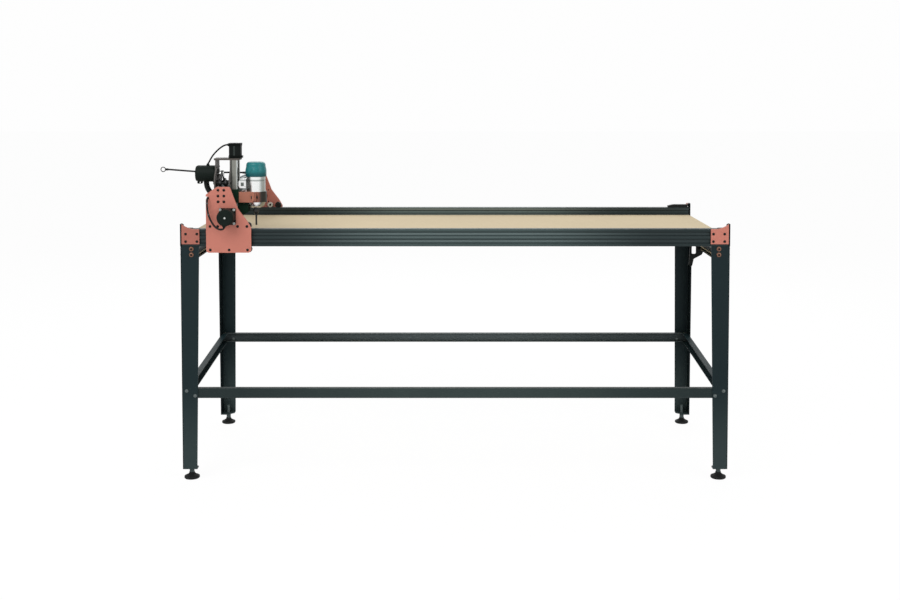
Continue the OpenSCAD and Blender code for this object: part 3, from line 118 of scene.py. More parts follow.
# ---- shader maths ----------------------------------------------------------------------------
class Value:
    """A shader socket on which + - * / ** add Math nodes, with plain numbers on either side."""

    def __init__(self, shader, socket):
        self.shader, self.socket = shader, socket

    def _with(self, operation, first, second):
        return self.shader.node("ShaderNodeMath", {"operation": operation}, {0: first, 1: second})[0]

    def __add__(self, other):
        return self._with("ADD", self, other)

    def __sub__(self, other):
        return self._with("SUBTRACT", self, other)

    def __rsub__(self, other):
        return self._with("SUBTRACT", other, self)

    def __mul__(self, other):
        return self._with("MULTIPLY", self, other)

    def __truediv__(self, other):
        return self._with("DIVIDE", self, other)

    def __pow__(self, other):
        return self._with("POWER", self, other)

    def __abs__(self):
        return self.shader.node("ShaderNodeMath", {"operation": "ABSOLUTE"}, {0: self})[0]

    __radd__, __rmul__ = __add__, __mul__


class Shader:
    """One material under construction. node() adds any node and returns its outputs."""

    def __init__(self, name):
        self.material = bpy.data.materials.new(name)
        self.material.use_nodes = True
        self.tree = self.material.node_tree
        self.tree.nodes.clear()

    def node(self, kind, settings=None, sockets=None):
        made = self.tree.nodes.new(kind)
        for key, value in (settings or {}).items():
            if key == "stops":
                ramp = made.color_ramp.elements
                while len(ramp) < len(value):
                    ramp.new(1)
                for element, (place, shade) in zip(ramp, value):
                    element.position = place
                    element.color = (*shade, 1) if hasattr(shade, "__len__") else (shade, shade, shade, 1)
            else:
                setattr(made, key, value)
        for key, value in (sockets or {}).items():
            if isinstance(value, Value):
                self.tree.links.new(value.socket, made.inputs[key])
            else:
                made.inputs[key].default_value = value
        return [Value(self, s) for s in made.outputs]

    def place(self, scale=(1, 1, 1)):
        """Object coordinates, scaled along each axis."""
        space = self.node("ShaderNodeTexCoord")[3]
        return self.node("ShaderNodeMapping", None, {"Vector": space, "Scale": scale})[0]

    def xyz(self):
        """The three object coordinates in millimetres."""
        return self.node("ShaderNodeSeparateXYZ", None, {0: self.place((1000, 1000, 1000))})

    def noise(self, scale, detail=4.0, stretch=(1, 1, 1), rough=0.5):
        """Grey noise from 0 to 1, stretched along the axes."""
        sockets = {"Vector": self.place(stretch), "Scale": scale, "Detail": detail, "Roughness": rough}
        return self.node("ShaderNodeTexNoise", None, sockets)[0]

    def rise(self, value, start, end):
        """0 before start, 1 after end, and a smooth step between them."""
        return self.node("ShaderNodeMapRange", {"interpolation_type": "SMOOTHSTEP"}, {0: value, 1: start, 2: end})[0]

    def band(self, value, low, high, soft=0.8):
        """1 between low and high and 0 outside, with soft edges."""
        return self.rise(value, low - soft, low + soft) * (1 - self.rise(value, high - soft, high + soft))

    def disc(self, first, second, at, radius, soft=0.2):
        """1 inside a circle about the point `at` of two coordinates."""
        away = ((first - at[0]) ** 2 + (second - at[1]) ** 2) ** 0.5
        return 1 - self.rise(away, radius - soft, radius + soft)

    def mix(self, factor, first, second):
        """Colour between two colours, given as linear triples or links."""
        ends = [c if isinstance(c, Value) else (*c, 1) for c in (first, second)]
        return self.node("ShaderNodeMix", {"data_type": "RGBA"}, {0: factor, 6: ends[0], 7: ends[1]})[2]

    def ramp(self, factor, stops):
        return self.node("ShaderNodeValToRGB", {"stops": stops}, {0: factor})[0]

    def bump(self, height, strength, distance):
        return self.node("ShaderNodeBump", None, {"Height": height, "Strength": strength, "Distance": distance})[0]

    def finish(self, spec=0.5, **sockets):
        """Ends the material in a Principled shader; spec is its constant specular level."""
        names = {k.replace("_", " "): v for k, v in sockets.items()}
        for key, value in names.items():
            if key == "Base Color" and not isinstance(value, Value):
                names[key] = (*value, 1)
        names["Specular IOR Level"] = spec
        shaded = self.node("ShaderNodeBsdfPrincipled", None, names)[0]
        self.node("ShaderNodeOutputMaterial", None, {"Surface": shaded})
        return self.material


def shade(rgb, k):
    """A linear colour k times as bright, held under 1."""
    return [min(1.0, c * k) for c in rgb]


# ---- finishes --------------------------------------------------------------------------------
def coated(name, rgb, rough=0.42, peel=0.06, metal=0.0, spread=0.12, spec=0.3, tint=None):
    """Satin powder coat: fine orange peel, faint blotches and a slightly uneven sheen. tint, given
    the shader and the colour so far, changes the colour from place to place."""
    s = Shader(name)
    blotch, grain = s.noise(7, 5), s.noise(900, 2)
    base = s.mix(blotch, shade(rgb, 1 - spread), shade(rgb, 1 + spread))
    return s.finish(
        spec,
        Base_Color=tint(s, base) if tint else base,
        Metallic=metal,
        Roughness=blotch * 0.12 + (rough - 0.06),
        Normal=s.bump(grain, peel, 0.0004),
    )


def drawn(name, rgb, along, rough=0.34, metal=0.8, spread=0.16, spec=0.3, tint=None):
    """Extruded or drawn metal: fine lines along one axis, 0 to 2, and soft smudges across them."""
    s = Shader(name)
    stretch = [60.0, 60.0, 60.0]
    stretch[along] = 0.6
    lines, smudge = s.noise(18, 3, tuple(stretch), 0.6), s.noise(4, 3)
    base = s.mix(lines * 0.7 + smudge * 0.3, shade(rgb, 1 - spread), shade(rgb, 1 + spread))
    return s.finish(
        spec,
        Base_Color=tint(s, base) if tint else base,
        Metallic=metal,
        Roughness=lines * 0.16 + smudge * 0.1 + (rough - 0.13),
        Normal=s.bump(lines, 0.12, 0.0002),
    )


def fibreboard(name, rgb):
    """Sanded fibreboard: short fibres, dust specks and broad, faint clouds, darker at the edges, mottled darker
    towards the left end, with the gantry's painted shadow over that end.
    """
    s = Shader(name)
    x, y, z = s.xyz()
    fibre, speck, cloud = s.noise(420, 6, (1, 2.4, 1), 0.7), s.noise(1400, 2), s.noise(2.2, 3)
    tint = fibre * 0.5 + speck * 0.25 + cloud * 0.25
    base = s.ramp(tint, [(0.3, shade(rgb, 0.82)), (0.5, rgb), (0.72, shade(rgb, 1.1))])
    # mottled darkening towards the left end, partly wear and partly painted shadow of the gantry, and darker front and
    # back edges
    darkening = s.rise(x * -1, 300, 900) * s.noise(5, 4) * 0.4 + s.rise(abs(y), 325, 345) * 0.25
    base = s.mix(darkening, base, shade(rgb, 0.72))
    # painted shadow of the gantry over the left end of the board
    base = s.mix(s.rise(x * -1, 780, 930) * 0.4, base, tone(150, 136, 116))
    return s.finish(0.2, Base_Color=base, Roughness=fibre * 0.1 + 0.78, Normal=s.bump(fibre, 0.2, 0.0003))


def rubber(name, rgb, rough=0.62, spec=0.15, tint=None):
    """Moulded rubber: dull, with a dusty bloom and fine pitting."""
    s = Shader(name)
    bloom, pit = s.noise(30, 5), s.noise(1500, 2)
    base = s.mix(bloom, shade(rgb, 0.8), shade(rgb, 1.5))
    return s.finish(
        spec,
        Base_Color=tint(s, base) if tint else base,
        Roughness=bloom * 0.15 + (rough - 0.07),
        Normal=s.bump(pit, 0.1, 0.0002),
    )


def moulded(name, rgb, rough=0.32, coat=0.15, spec=0.3, tint=None):
    """Moulded plastic: fine spark-eroded grain under a soft gloss."""
    s = Shader(name)
    flow, grain = s.noise(14, 3), s.noise(1100, 3)
    base = s.mix(flow, shade(rgb, 0.9), shade(rgb, 1.12))
    return s.finish(
        spec,
        Base_Color=tint(s, base) if tint else base,
        Roughness=grain * 0.1 + (rough - 0.05),
        Coat_Weight=coat,
        Normal=s.bump(grain, 0.08, 0.0003),
    )


def turned(name, rgb, rough=0.3, metal=0.9, along=2, tint=None):
    """Turned metal: fine rings spaced along an axis, with the broad streaks that a lathe leaves."""
    s = Shader(name)
    stretch = [2.0, 2.0, 2.0]
    stretch[along] = 60.0
    lines, smudge = s.noise(30, 2, tuple(stretch), 0.5), s.noise(9, 3)
    base = s.mix(lines * 0.6 + smudge * 0.4, shade(rgb, 0.84), shade(rgb, 1.1))
    return s.finish(
        Base_Color=tint(s, base) if tint else base,
        Metallic=metal,
        Roughness=lines * 0.15 + smudge * 0.1 + (rough - 0.12),
        Normal=s.bump(lines, 0.08, 0.0002),
    )


def ends(s, base, along, reach, k, rgb):
    """A base that goes over to a written colour by k between two distances from the middle."""
    return s.mix(s.rise(abs(along), *reach) * k, base, tone(*rgb))


def stretcher_painted_light(s, base):
    """Painted shade towards the ends, and painted light that makes the back ones paler."""
    x, y, z = s.xyz()
    base = s.mix(s.rise(y, 300, 320) * 0.75, base, tone(104, 114, 116))
    return ends(s, base, x - 20, (150, 850), 0.62, (20, 30, 32))


def side_rail_highlights(s, base):
    """Two painted highlights along the upper face of the lower flange, inside the upper side rails, where light falls
    from above.
    """
    x, y, z = s.xyz()
    lines = s.band(abs(x), 934.5, 940.4, 0.4) + s.band(abs(x), 921.5, 924.5, 0.4) * 0.7
    return s.mix(s.band(z, 751.4, 753.2, 0.3) * lines, base, tone(250, 246, 236))


def plate_smudges(s, base):
    """Dark finger marks and oil on the carriage plates, and a browner top plate."""
    x, y, z = s.xyz()
    base = s.mix(s.rise(s.noise(22, 4), 0.5, 0.62) * 0.55, base, tone(40, 41, 39))
    return s.mix(s.rise(z, 1108.6, 1109) * 0.6, base, tone(70, 64, 60))


def corner_shade(s, base):
    """Painted shade: the plates at the left end are duller."""
    return s.mix(s.rise(s.xyz()[0] * -1, 0, 600) * 0.4, base, tone(122, 70, 60))


def rail_painted_light(s, base):
    """Painted light over the anodised colour of a rail: painted highlights on the floors low in both slots, painted
    shadow under their upper lips, a paler inner side where more light falls, and painted shade towards both ends."""
    x, y, z = s.xyz()
    outer = s.rise(abs(y), 352, 356)
    pale = s.band(z, 854.5, 861, 1.5) + s.band(z, 830, 836, 1.5) + s.band(z, 845, 849, 1.5) * 0.6
    dark = s.band(z, 862.5, 867, 1) + s.band(z, 838, 842, 1)
    inner = 1 - outer
    lit = s.mix(pale * outer * 0.42, base, tone(126, 142, 142))
    lit = s.mix(dark * outer * 0.55, lit, tone(30, 42, 42))
    lit = s.mix(inner * 0.45, lit, tone(112, 121, 116))
    lit = s.mix(s.band(z, 862, 870, 1.5) * inner * 0.5, lit, tone(120, 128, 124))
    return ends(s, lit, x - 30, (200, 680), 0.85, (18, 30, 32))


def leg_painted_light(s, base):
    """Painted shade at the bend and towards the right, and painted light that makes the legs paler towards the feet.
    """
    x, y, z = s.xyz()
    base = s.mix(s.rise(x, -400, 800) * 0.4, base, tone(16, 28, 31))
    base = s.mix((1 - s.rise(z, 60, 360)) * 0.6, base, tone(56, 68, 68))
    return s.mix(1 - s.rise(945 - abs(x), 2.5, 5), base, tone(6, 16, 18))


def bolt_rings(s, base):
    """Chromate rings with painted shade in their sockets, about the axes of the bolts that face front and back."""
    x, y, z = s.xyz()
    side = abs(x)
    # painted shade in the bolts' sockets
    dark = s.disc(side, z, (906.5, 806), 3.9, 0.5) + s.disc(side, z, (906.5, 786), 3.9, 0.5)
    low = s.band(z, 280, 372, 1) + s.rise(side, 941, 943)
    base = s.mix(low, base, tone(96, 104, 104))
    return s.mix(dark, base, tone(14, 10, 9))


def clamp_shade_ramp(s, base):
    """Painted shade on the clamp ring: darker red past the router's axis, where the ring turns away from the light,
    then dark over its closing half.
    """
    x, y, z = s.xyz()
    darkening = bpy.context.scene.router_finish.clamp_painted_shade
    base = s.mix(s.rise(x, -697, -688) * 0.55, base, tone(96, 48, 36))
    return s.mix(s.rise(x, -684, -670), base, darkening)


def foot_parts(s, base):
    """Rubber bell under a bright zinc nut and stud."""
    x, y, z = s.xyz()
    return s.mix(s.rise(z, 21.6, 22.2), base, tone(80, 90, 90))


def motor_stack(s, base):
    """Grey steel laminations between the black end caps of the square motor, with a painted highlight down the middle
    of the stack.
    """
    x, y, z = s.xyz()
    lines = s.node("ShaderNodeTexWave", {"bands_direction": "Z"}, {"Vector": s.place(), "Scale": 320.0})[1]
    stack = s.band(z, 1124.5, 1157.5, 0.4)
    # painted highlight line down the middle of the stack
    front = s.band(x, -768.5, -763, 1.2)
    grey = s.mix(lines, tone(16, 20, 20), tone(32, 36, 35))
    return s.mix(front * stack * 0.5, s.mix(stack * 0.5, base, grey), tone(66, 74, 71))


def bright_heads(s, base):
    """Bright heads of the four flange screws of the drive motors."""
    x, y, z = s.xyz()
    heads = s.disc(abs(x + 778.5), abs(z - 919.924), (23.57, 23.57), 4.2)
    return s.mix(heads * s.rise(abs(y), 399.2, 399.6), base, tone(176, 180, 177))


def cap_tint(s, base):
    """A darker skirt and flutes on the motor cap."""
    x, y, z = s.xyz()
    low = 1 - s.rise(z, 1056, 1074)
    return s.mix(low * 0.8, base, tone(0, 66, 73))


def channel_painted_light(s, base):
    """Zinc with painted shade along the rear edge and in a line down its side, and a painted highlight in front."""
    x, y, z = s.xyz()
    dark = (1 - s.rise(x, -772.5, -769.5)) * 0.75 + s.band(x, -765.5, -763.5, 0.8) * 0.35
    return s.mix(s.rise(x, -757.5, -756) * 0.8, s.mix(dark, base, tone(34, 38, 34)), tone(196, 201, 200))


def barrel_painted_shade(s, base):
    """Polished aluminium with a darker collar line, and painted shade on the side next to the channel and on the
    duller side away from it.
    """
    x, y, z = s.xyz()
    base = s.mix(s.rise(x, -686, -670) * 0.85, base, tone(140, 146, 142))
    base = s.mix(s.band(x, -726.5, -708, 6) * 0.55, base, tone(110, 110, 102))
    return s.mix(s.band(z, 1035.5, 1041, 0.6) * 0.6, base, tone(120, 128, 124))


def assign(names, material):
    """Gives CAD nodes a material in every slot."""
    for name in names:
        mesh = NODES[name].data
        if not mesh.materials:
            mesh.materials.append(material)
        for i in range(len(mesh.materials)):
            NODES[name].material_slots[i].link = "OBJECT"
            NODES[name].material_slots[i].material = material


def starting(*heads):
    return [n for n in NODES if n.startswith(heads)]


class ROUTER_OT_finishes(bpy.types.Operator):
    """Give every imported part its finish"""

    bl_idname = "router.finishes"
    bl_label = "Finishes"

    def execute(self, context):
        c = context.scene.router_finish
        assign(starting("rail_"), drawn("rail_anodised", c.rail, 0, 0.4, 0.35, tint=rail_painted_light))
        assign(["gantry_beam"], drawn("beam_anodised", c.rail, 1, 0.4, 0.35))
        powder = coated("powder_black", c.powder, 0.46, 0.1, spec=0.12, tint=leg_painted_light)
        assign([n for n in starting("leg_") if n != "leg_bolts"], powder)
        pale = coated("powder_grey", c.stretcher, 0.46, 0.1, spec=0.12, tint=stretcher_painted_light)
        assign(starting("stretcher_", "cross_beams"), pale)
        assign(["side_rails"], coated("powder_side", shade(c.powder, 1.1), 0.46, 0.1, spec=0.08, tint=side_rail_highlights))
        assign(starting("gantry_plate"), coated("salmon_plate", c.salmon, 0.46, 0.04, 0, 0.05, 0.3))
        assign(["corner_plates"], coated("salmon_corner", c.salmon, 0.46, 0.04, 0, 0.05, 0.3, corner_shade))
        assign(["router_clamp"], coated("salmon_clamp", c.clamp, 0.44, 0.04, 0, 0.08, 0.3, clamp_shade_ramp))
        sheet = coated("sheet_black", c.sheet, 0.42, 0.06, spec=0.15)
        assign(["end_plates", "belt_anchors", "cable_bracket"], sheet)
        assign([n for n in starting("carriage_") if n.endswith("_plate")],
               coated("plate_dull", c.plate, 0.5, 0.05, 0.0, 0.15, 0.1, plate_smudges))
        assign(["z_saddle"], coated("saddle_green", c.saddle, 0.5, 0.06, spec=0.06))
        assign(["spoilboard"], fibreboard("board", c.board))
        paint = coated("motor_paint", c.motor, 0.5, 0.05, 0.0, 0.2, 0.06, bright_heads)
        assign(["gantry_motor_front", "gantry_motor_back", "carriage_motor"], paint)
        coated("motor_square", shade(c.motor, 0.3), 0.5, 0.05, 0.0, 0.2, 0.06, motor_stack)
        coated("black_oxide", shade(c.motor, 0.25), 0.34, 0.05, 0.0, 0.2, 0.2)
        coated("copper_bolts", c.copper, 0.34, 0.03, 0.4, 0.15, 0.3, bolt_rings)
        soft = rubber("rubber", c.rubber)
        rubber("cable_jacket", c.rubber, 0.5, 0.2)
        assign(starting("foot_"), rubber("foot_rubber", shade(c.rubber, 2.2), tint=foot_parts))
        assign([n for n in NODES if "wheels" in n], moulded("black_plastic", shade(c.rubber, 1.6), 0.4, spec=0.2))
        assign(["power_switch"], moulded("switch_grey", tone(104, 112, 108), 0.4, spec=0.2))
        assign(["collet_and_cutter"], turned("dark_steel", tone(44, 46, 45), 0.34, 0.6))
        steel = turned("bright_steel", c.steel, 0.26, 0.95, 1)
        assign(["idlers_left", "idlers_right", "drive_pulleys", "carriage_pulley"], steel)
        assign(["z_channel"], drawn("zinc_channel", c.zinc, 2, 0.36, 0.4, tint=channel_painted_light))
        turned("ground_steel", c.steel, 0.22, 0.95)
        assign(["router_barrel"], turned("barrel_aluminium", c.barrel, 0.24, 0.95, tint=barrel_painted_shade))
        moulded("cap_plastic", c.cap, 0.34, 0.1, 0.2, cap_tint)
        assign(["bed_belts"], soft)
        return {"FINISHED"}


def made(name):
    """A material that the finishes made."""
    return bpy.data.materials[name]


# ---- surfaces, in millimetres ----------------------------------------------------------------
def unit(v):
    v = np.asarray(v, float)
    return v / np.linalg.norm(v, axis=-1, keepdims=True)


def square_to(axis):
    """Two unit vectors square to an axis, and the axis, as a right-handed frame."""
    w = unit(axis)
    u = unit(np.cross([0, 0, 1] if abs(w[2]) < 0.9 else [0, 1, 0], w))
    return u, np.cross(w, u), w


def strip(rows, sides, loop=False):
    """Quads from each ring of points to the next; the ends are capped, or joined when loop."""
    i, k = np.meshgrid(np.arange(rows if loop else rows - 1), np.arange(sides), indexing="ij")
    j, k1 = (i + 1) % rows, (k + 1) % sides
    quads = np.stack([i * sides + k, i * sides + k1, j * sides + k1, j * sides + k], -1).reshape(-1, 4).tolist()
    if loop:
        return quads
    return quads + [list(range(sides))[::-1], list(range((rows - 1) * sides, rows * sides))]


def lathe(profile, centre, axis, steps=24, loop=False):
    """Surface of revolution: centre + r cos t u + r sin t v + h w, for each (r, h) of the profile
    and each turn t; u, v and w are the frame square to the axis."""
    u, v, w = square_to(axis)
    r, h = np.asarray(profile, float).T
    t = np.arange(steps) * TAU / steps
    ring = np.cos(t)[:, None] * u + np.sin(t)[:, None] * v
    points = np.asarray(centre, float) + r[:, None, None] * ring + h[:, None, None] * w
    return points.reshape(-1, 3), strip(len(r), steps, loop)


def block(low, high):
    """Box between two corners, as two rings of four points."""
    (x0, y0, z0), (x1, y1, z1) = low, high
    ring = [[x0, y0], [x1, y0], [x1, y1], [x0, y1]]
    return np.array([[*p, z] for z in (z0, z1) for p in ring], float), strip(2, 4)


def gather(shapes):
    """Several shapes as one, each face's numbers moved past the points before it."""
    points, faces, start = [], [], 0
    for p, f in shapes:
        points.append(p)
        faces += [[k + start for k in face] for face in f]
        start += len(p)
    return np.vstack(points), faces


def eased(points, n):
    """Catmull-Rom curve through the points, n steps to a span."""
    p = np.asarray(points, float)
    q = np.vstack([2 * p[0] - p[1], p, 2 * p[-1] - p[-2]])
    a, b, c, d = q[:-3], q[1:-2], q[2:-1], q[3:]
    t = (np.arange(n) / n)[:, None, None]
    curve = 0.5 * (2 * b + (c - a) * t + (2 * a - 5 * b + 4 * c - d) * t**2 + (3 * b - a - 3 * c + d) * t**3)
    return np.vstack([curve.transpose(1, 0, 2).reshape(-1, 3), p[-1:]])


def lengths(path):
    """Arc length at each point of a path."""
    return np.r_[0, np.cumsum(np.linalg.norm(np.diff(path, axis=0), axis=1))]


def spaced(path, n):
    """n points at equal steps of arc length along a path."""
    s = lengths(path)
    at = np.linspace(0, s[-1], n)
    return np.stack([np.interp(at, s, c) for c in np.asarray(path).T], -1)


def sweep(path, radii, sides=12, up=(0, 0, 1)):
    """Closed tube: at each path point a ring of `sides` points, radius r, in the plane across the path."""
    path = np.asarray(path, float)
    radii = np.broadcast_to(np.asarray(radii, float), len(path))
    along = unit(np.gradient(path, axis=0))
    across = unit(np.cross(np.asarray(up, float), along))
    other = np.cross(along, across)
    turn = np.arange(sides) * TAU / sides
    ring = np.cos(turn)[None, :, None] * across[:, None] + np.sin(turn)[None, :, None] * other[:, None]
    return (path[:, None] + radii[:, None, None] * ring).reshape(-1, 3), strip(len(path), sides)


def new_piece(name, shape, material, body, bevel=0.0, crease=35):
    """A mesh object at the origin from a shape in millimetres, riding on a body."""
    points, faces = shape
    mesh = bpy.data.meshes.new(name)
    mesh.from_pydata((np.asarray(points) * MM).tolist(), [], [list(map(int, f)) for f in faces])
    return wear(name, mesh, material, body, bevel, crease)


def wear(name, mesh, material, body, bevel=0.0, crease=35):
    """Object for a mesh: smooth but for edges sharper than crease, with its material and body."""
    mesh.polygons.foreach_set("use_smooth", np.full(len(mesh.polygons), True))
    mesh.set_sharp_from_angle(angle=math.radians(crease))
    mesh.update()
    piece = bpy.data.objects.new(name, mesh)
    bpy.context.scene.collection.objects.link(piece)
    mesh.materials.clear()
    mesh.materials.append(material)
    if bevel:
        cut = piece.modifiers.new("bevel", "BEVEL")
        cut.width, cut.segments, cut.limit_method = bevel * MM, 2, "ANGLE"
    if body:
        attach(piece, body)
    return piece


def cut_copy(node, name, material, body, cutter):
    """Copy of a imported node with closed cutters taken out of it; its loose triangles are merged first."""
    mesh = NODES[node].data.copy()
    work = bmesh.new()
    work.from_mesh(mesh)
    bmesh.ops.remove_doubles(work, verts=work.verts, dist=1e-6)
    work.to_mesh(mesh)
    work.free()
    body_piece = bpy.data.objects.new(name + "_uncut", mesh)
    points, faces = cutter
    tool_mesh = bpy.data.meshes.new(name + "_cutter")
    tool_mesh.from_pydata((np.asarray(points) * MM).tolist(), [], [list(map(int, f)) for f in faces])
    tool = bpy.data.objects.new(name + "_cutter", tool_mesh)
    for o in (body_piece, tool):
        bpy.context.scene.collection.objects.link(o)
    cut = body_piece.modifiers.new("cut", "BOOLEAN")
    cut.operation, cut.object, cut.solver, cut.use_self = "DIFFERENCE", tool, "EXACT", False
    bpy.context.view_layer.update()
    baked = bpy.data.meshes.new_from_object(body_piece.evaluated_get(bpy.context.evaluated_depsgraph_get()))
    for o in (body_piece, tool):
        old = o.data
        bpy.data.objects.remove(o)
        bpy.data.meshes.remove(old)
    baked.name = name
    for attribute in ("custom_normal",):
        if attribute in baked.attributes:
            baked.attributes.remove(baked.attributes[attribute])
    if not len(baked.polygons):
        raise RuntimeError(f"{name} came out empty")
    piece = wear(name, baked, material, body, crease=30)
    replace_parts(piece, node)
    return piece


# ---- places, in millimetres ------------------------------------------------------------------
HALF_L, LEG_X, HALF_D, RAIL_Y, RAIL_Z = 939.0, 945.0, 380.0, 365.0, 845.0
CORNERS = [(sx, sy) for sx in (-1, 1) for sy in (-1, 1)]
PLATE_X, PLATE_Y, PLATE_Z = -852.5, 394.0, 795.0  # gantry plates' lower left corners, outer faces
DRIVE = (-778.5, 919.924)
TOP_Z, LOW_Z = 885.424, 804.576
IDLERS = (-812.5, -744.5)
WHEELS = {
    "wheels_top_left": (-839.0, TOP_Z), "wheels_top_right": (-712.5, TOP_Z), "wheels_low_left": (-838.5, LOW_Z),
    "wheels_low_middle": (-774.0, LOW_Z), "wheels_low_right": (-711.0, LOW_Z),
}  # fmt: skip
CARRIAGE_Y, REAR_X, FRONT_X = -308.0, -810.5, -790.5
CARRIAGE_WHEELS = {
    "carriage_wheels_top_front": (-42, 1030.424), "carriage_wheels_top_back": (42, 1030.424),
    "carriage_wheels_low_front": (-42, 949.576), "carriage_wheels_low_back": (42, 949.576),
}  # fmt: skip
X_MOTOR = np.array([-830.0, CARRIAGE_Y, 1061.0])  # flange face of the carriage motor
SCREW_X, ROUTER_X = -764.5, -693.7
BELT_T, BELT_W = 1.4, 6.0


# ---- belts -----------------------------------------------------------------------------------
def arc(centre, r, start, end, n=24):
    """Points centre + r (cos a, sin a) for angles from start to end, in radians."""
    a = np.linspace(start, end, n)
    return np.stack([centre[0] + r * np.cos(a), centre[1] + r * np.sin(a)], -1)


def loop_path(span, rise, ra, rp):
    """Under one idler, over the pulley and under the other: three arcs whose shared tangents lean by
    atan(rise / span) + asin((ra + rp) / distance)."""
    lean = math.atan2(rise, span) + math.asin((ra + rp) / math.hypot(span, rise))
    quarter = TAU / 4
    return np.vstack([
        arc((-span, 0), ra, -quarter, lean - quarter), arc((0, rise), rp, lean + quarter, quarter - lean),
        arc((span, 0), ra, 3 * quarter - lean, 3 * quarter),
    ])  # fmt: skip


def toothed(path, origin, along_axis, up_axis, pitch, depth):
    """Belt along a flat path. At arc length s the back stands half a thickness to the left of the
    path; the face stands half a thickness to its right on a tooth, and depth less between teeth."""
    s = lengths(path)
    teeth = int((s[-1] - 1) // pitch)
    first = (s[-1] - teeth * pitch) / 2
    at = np.r_[0, (first + (np.arange(teeth)[:, None] + [0.1, 0.25, 0.55, 0.7]) * pitch).ravel(), s[-1]]
    gap = 1 - np.r_[0, np.tile([0, 1, 1, 0], teeth), 0]
    middle = np.stack([np.interp(at, s, c) for c in np.asarray(path).T], -1)
    along = unit(np.gradient(middle, axis=0))
    left = np.stack([-along[:, 1], along[:, 0]], -1)
    back = middle + left * BELT_T / 2
    face = middle - left * (BELT_T / 2 - depth * gap)[:, None]
    a, b = np.asarray(along_axis, float), np.asarray(up_axis, float)
    wide = np.cross(b, a) * BELT_W / 2
    lift = [np.asarray(origin, float) + p[:, :1] * a + p[:, 1:] * b for p in (face, back)]
    rings = np.stack([lift[0] - wide, lift[0] + wide, lift[1] + wide, lift[1] - wide], 1)
    return rings.reshape(-1, 3), strip(len(at), 4)


class ROUTER_OT_belts(bpy.types.Operator):
    """Lay the toothed belts in the grooves and round the drive pulleys"""

    bl_idname = "router.belts"
    bl_label = "Belts"

    def execute(self, context):
        d = context.scene.router_detail
        black = made("rubber")
        for side, sy in (("front", -1), ("back", 1)):
            line = np.array([[-HALF_L + 5, 0], [HALF_L - 5, 0]])
            shape = toothed(line, (0, sy * RAIL_Y, 872.0), (1, 0, 0), (0, 0, 1), d.belt_pitch, d.belt_tooth)
            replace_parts(new_piece(f"bed_belt_{side}", shape, black, "stand"), "bed_belts")
            path = loop_path(34, DRIVE[1] - TOP_Z, 11.6, 10.2)
            origin = (DRIVE[0], sy * RAIL_Y, TOP_Z)
            shape = toothed(path, origin, (1, 0, 0), (0, 0, 1), d.belt_pitch, d.belt_tooth)
            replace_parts(new_piece(f"gantry_belt_{side}", shape, black, "gantry"), "gantry_belts")
        line = np.array([[-386, 0], [386, 0]])
        shape = toothed(line, (REAR_X, 0, 1015.5), (0, 1, 0), (0, 0, 1), d.belt_pitch, d.belt_tooth)
        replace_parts(new_piece("beam_belt", shape, black, "gantry"), "gantry_belts")
        clamps = gather([
            shape
            for sy in (-1, 1)
            for shape in (
                block((REAR_X - 3, min(sy * 388, sy * 380), 1016.2), (REAR_X + 3, max(sy * 388, sy * 380), 1022)),
                lathe([(2.2, 0), (2.2, 0.7), (1.7, 1)], (REAR_X, sy * 384, 1022), (0, 0, 1), 12),
            )
        ])  # fmt: skip
        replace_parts(new_piece("beam_belt_clamps", clamps, made("sheet_black"), "gantry", 0.4), "gantry_belts")
        path = loop_path(42, X_MOTOR[2] - 1030.424, 13.0, 10.2)
        origin = (REAR_X, CARRIAGE_Y, 1030.424)
        shape = toothed(path, origin, (0, 1, 0), (0, 0, 1), d.belt_pitch, d.belt_tooth)
        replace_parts(new_piece("carriage_belt_loop", shape, black, "carriage"), "carriage_belt")
        return {"FINISHED"}


# ---- screws ----------------------------------------------------------------------------------
def socket(place, axis, top=2.615, r=1.75, deep=1.6):
    """Hexagonal cutter from `deep` below a head's top to 1 above it."""
    return lathe([(r, top - deep), (r, top + 1)], place, axis, 6)


class ROUTER_OT_sockets(bpy.types.Operator):
    """Sink hexagon sockets into the heads of the screws and bolts"""

    bl_idname = "router.sockets"
    bl_label = "Screw sockets"

    def execute(self, context):
        oxide = made("black_oxide")
        ends = [
            socket(place, axis)
            for sx, sy in CORNERS
            for place, axis in [
                *(((sx * (HALF_L - x), sy * (HALF_D + 4), RAIL_Z + k), (0, sy, 0)) for x in (14, 52.5) for k in (-13, 13)),
                *(((sx * LEG_X, sy * RAIL_Y, z), (sx, 0, 0)) for z in range(785, 886, 20)),
            ]
        ]
        cut_copy("frame_screws", "frame_screws_cut", oxide, "stand", gather(ends))
        bolts = []
        for sx, sy in CORNERS:
            rise = 43.5 if sy > 0 else 0
            bolts += [socket((sx * 906.5, sy * HALF_D, z), (0, sy, 0), 5.0, 2.6, 2.6) for z in (806, 786)]
            small = [((sx * x, sy * HALF_D, 303.5 + rise + up), (0, sy, 0)) for x, up in ((928, 9), (898.5, -8))]
            small += [((sx * LEG_X, sy * 342, z), (sx, 0, 0)) for z in (767, 303.5 + rise)]
            bolts += [socket(place, axis, 4.05, 1.95, 2.0) for place, axis in small]
        cut_copy("leg_bolts", "leg_bolts_cut", made("copper_bolts"), "stand", gather(bolts))
        places = [*WHEELS.values(), *((x, TOP_Z) for x in IDLERS)]
        places += [(-800.5 + 10 * i, 990 + 19.8 * k) for i in (-1, 1) for k in (-1, 0, 1)]
        heads = [socket((x, sy * PLATE_Y, z), (0, sy, 0)) for sy in (-1, 1) for x, z in places]
        cut_copy("gantry_fasteners", "gantry_fasteners_cut", oxide, "gantry", gather(heads))
        heads = [socket((-775.5, CARRIAGE_Y + y, z), (1, 0, 0)) for y, z in CARRIAGE_WHEELS.values()]
        cut_copy("carriage_fasteners", "carriage_fasteners_cut", oxide, "carriage", gather(heads))
        return {"FINISHED"}


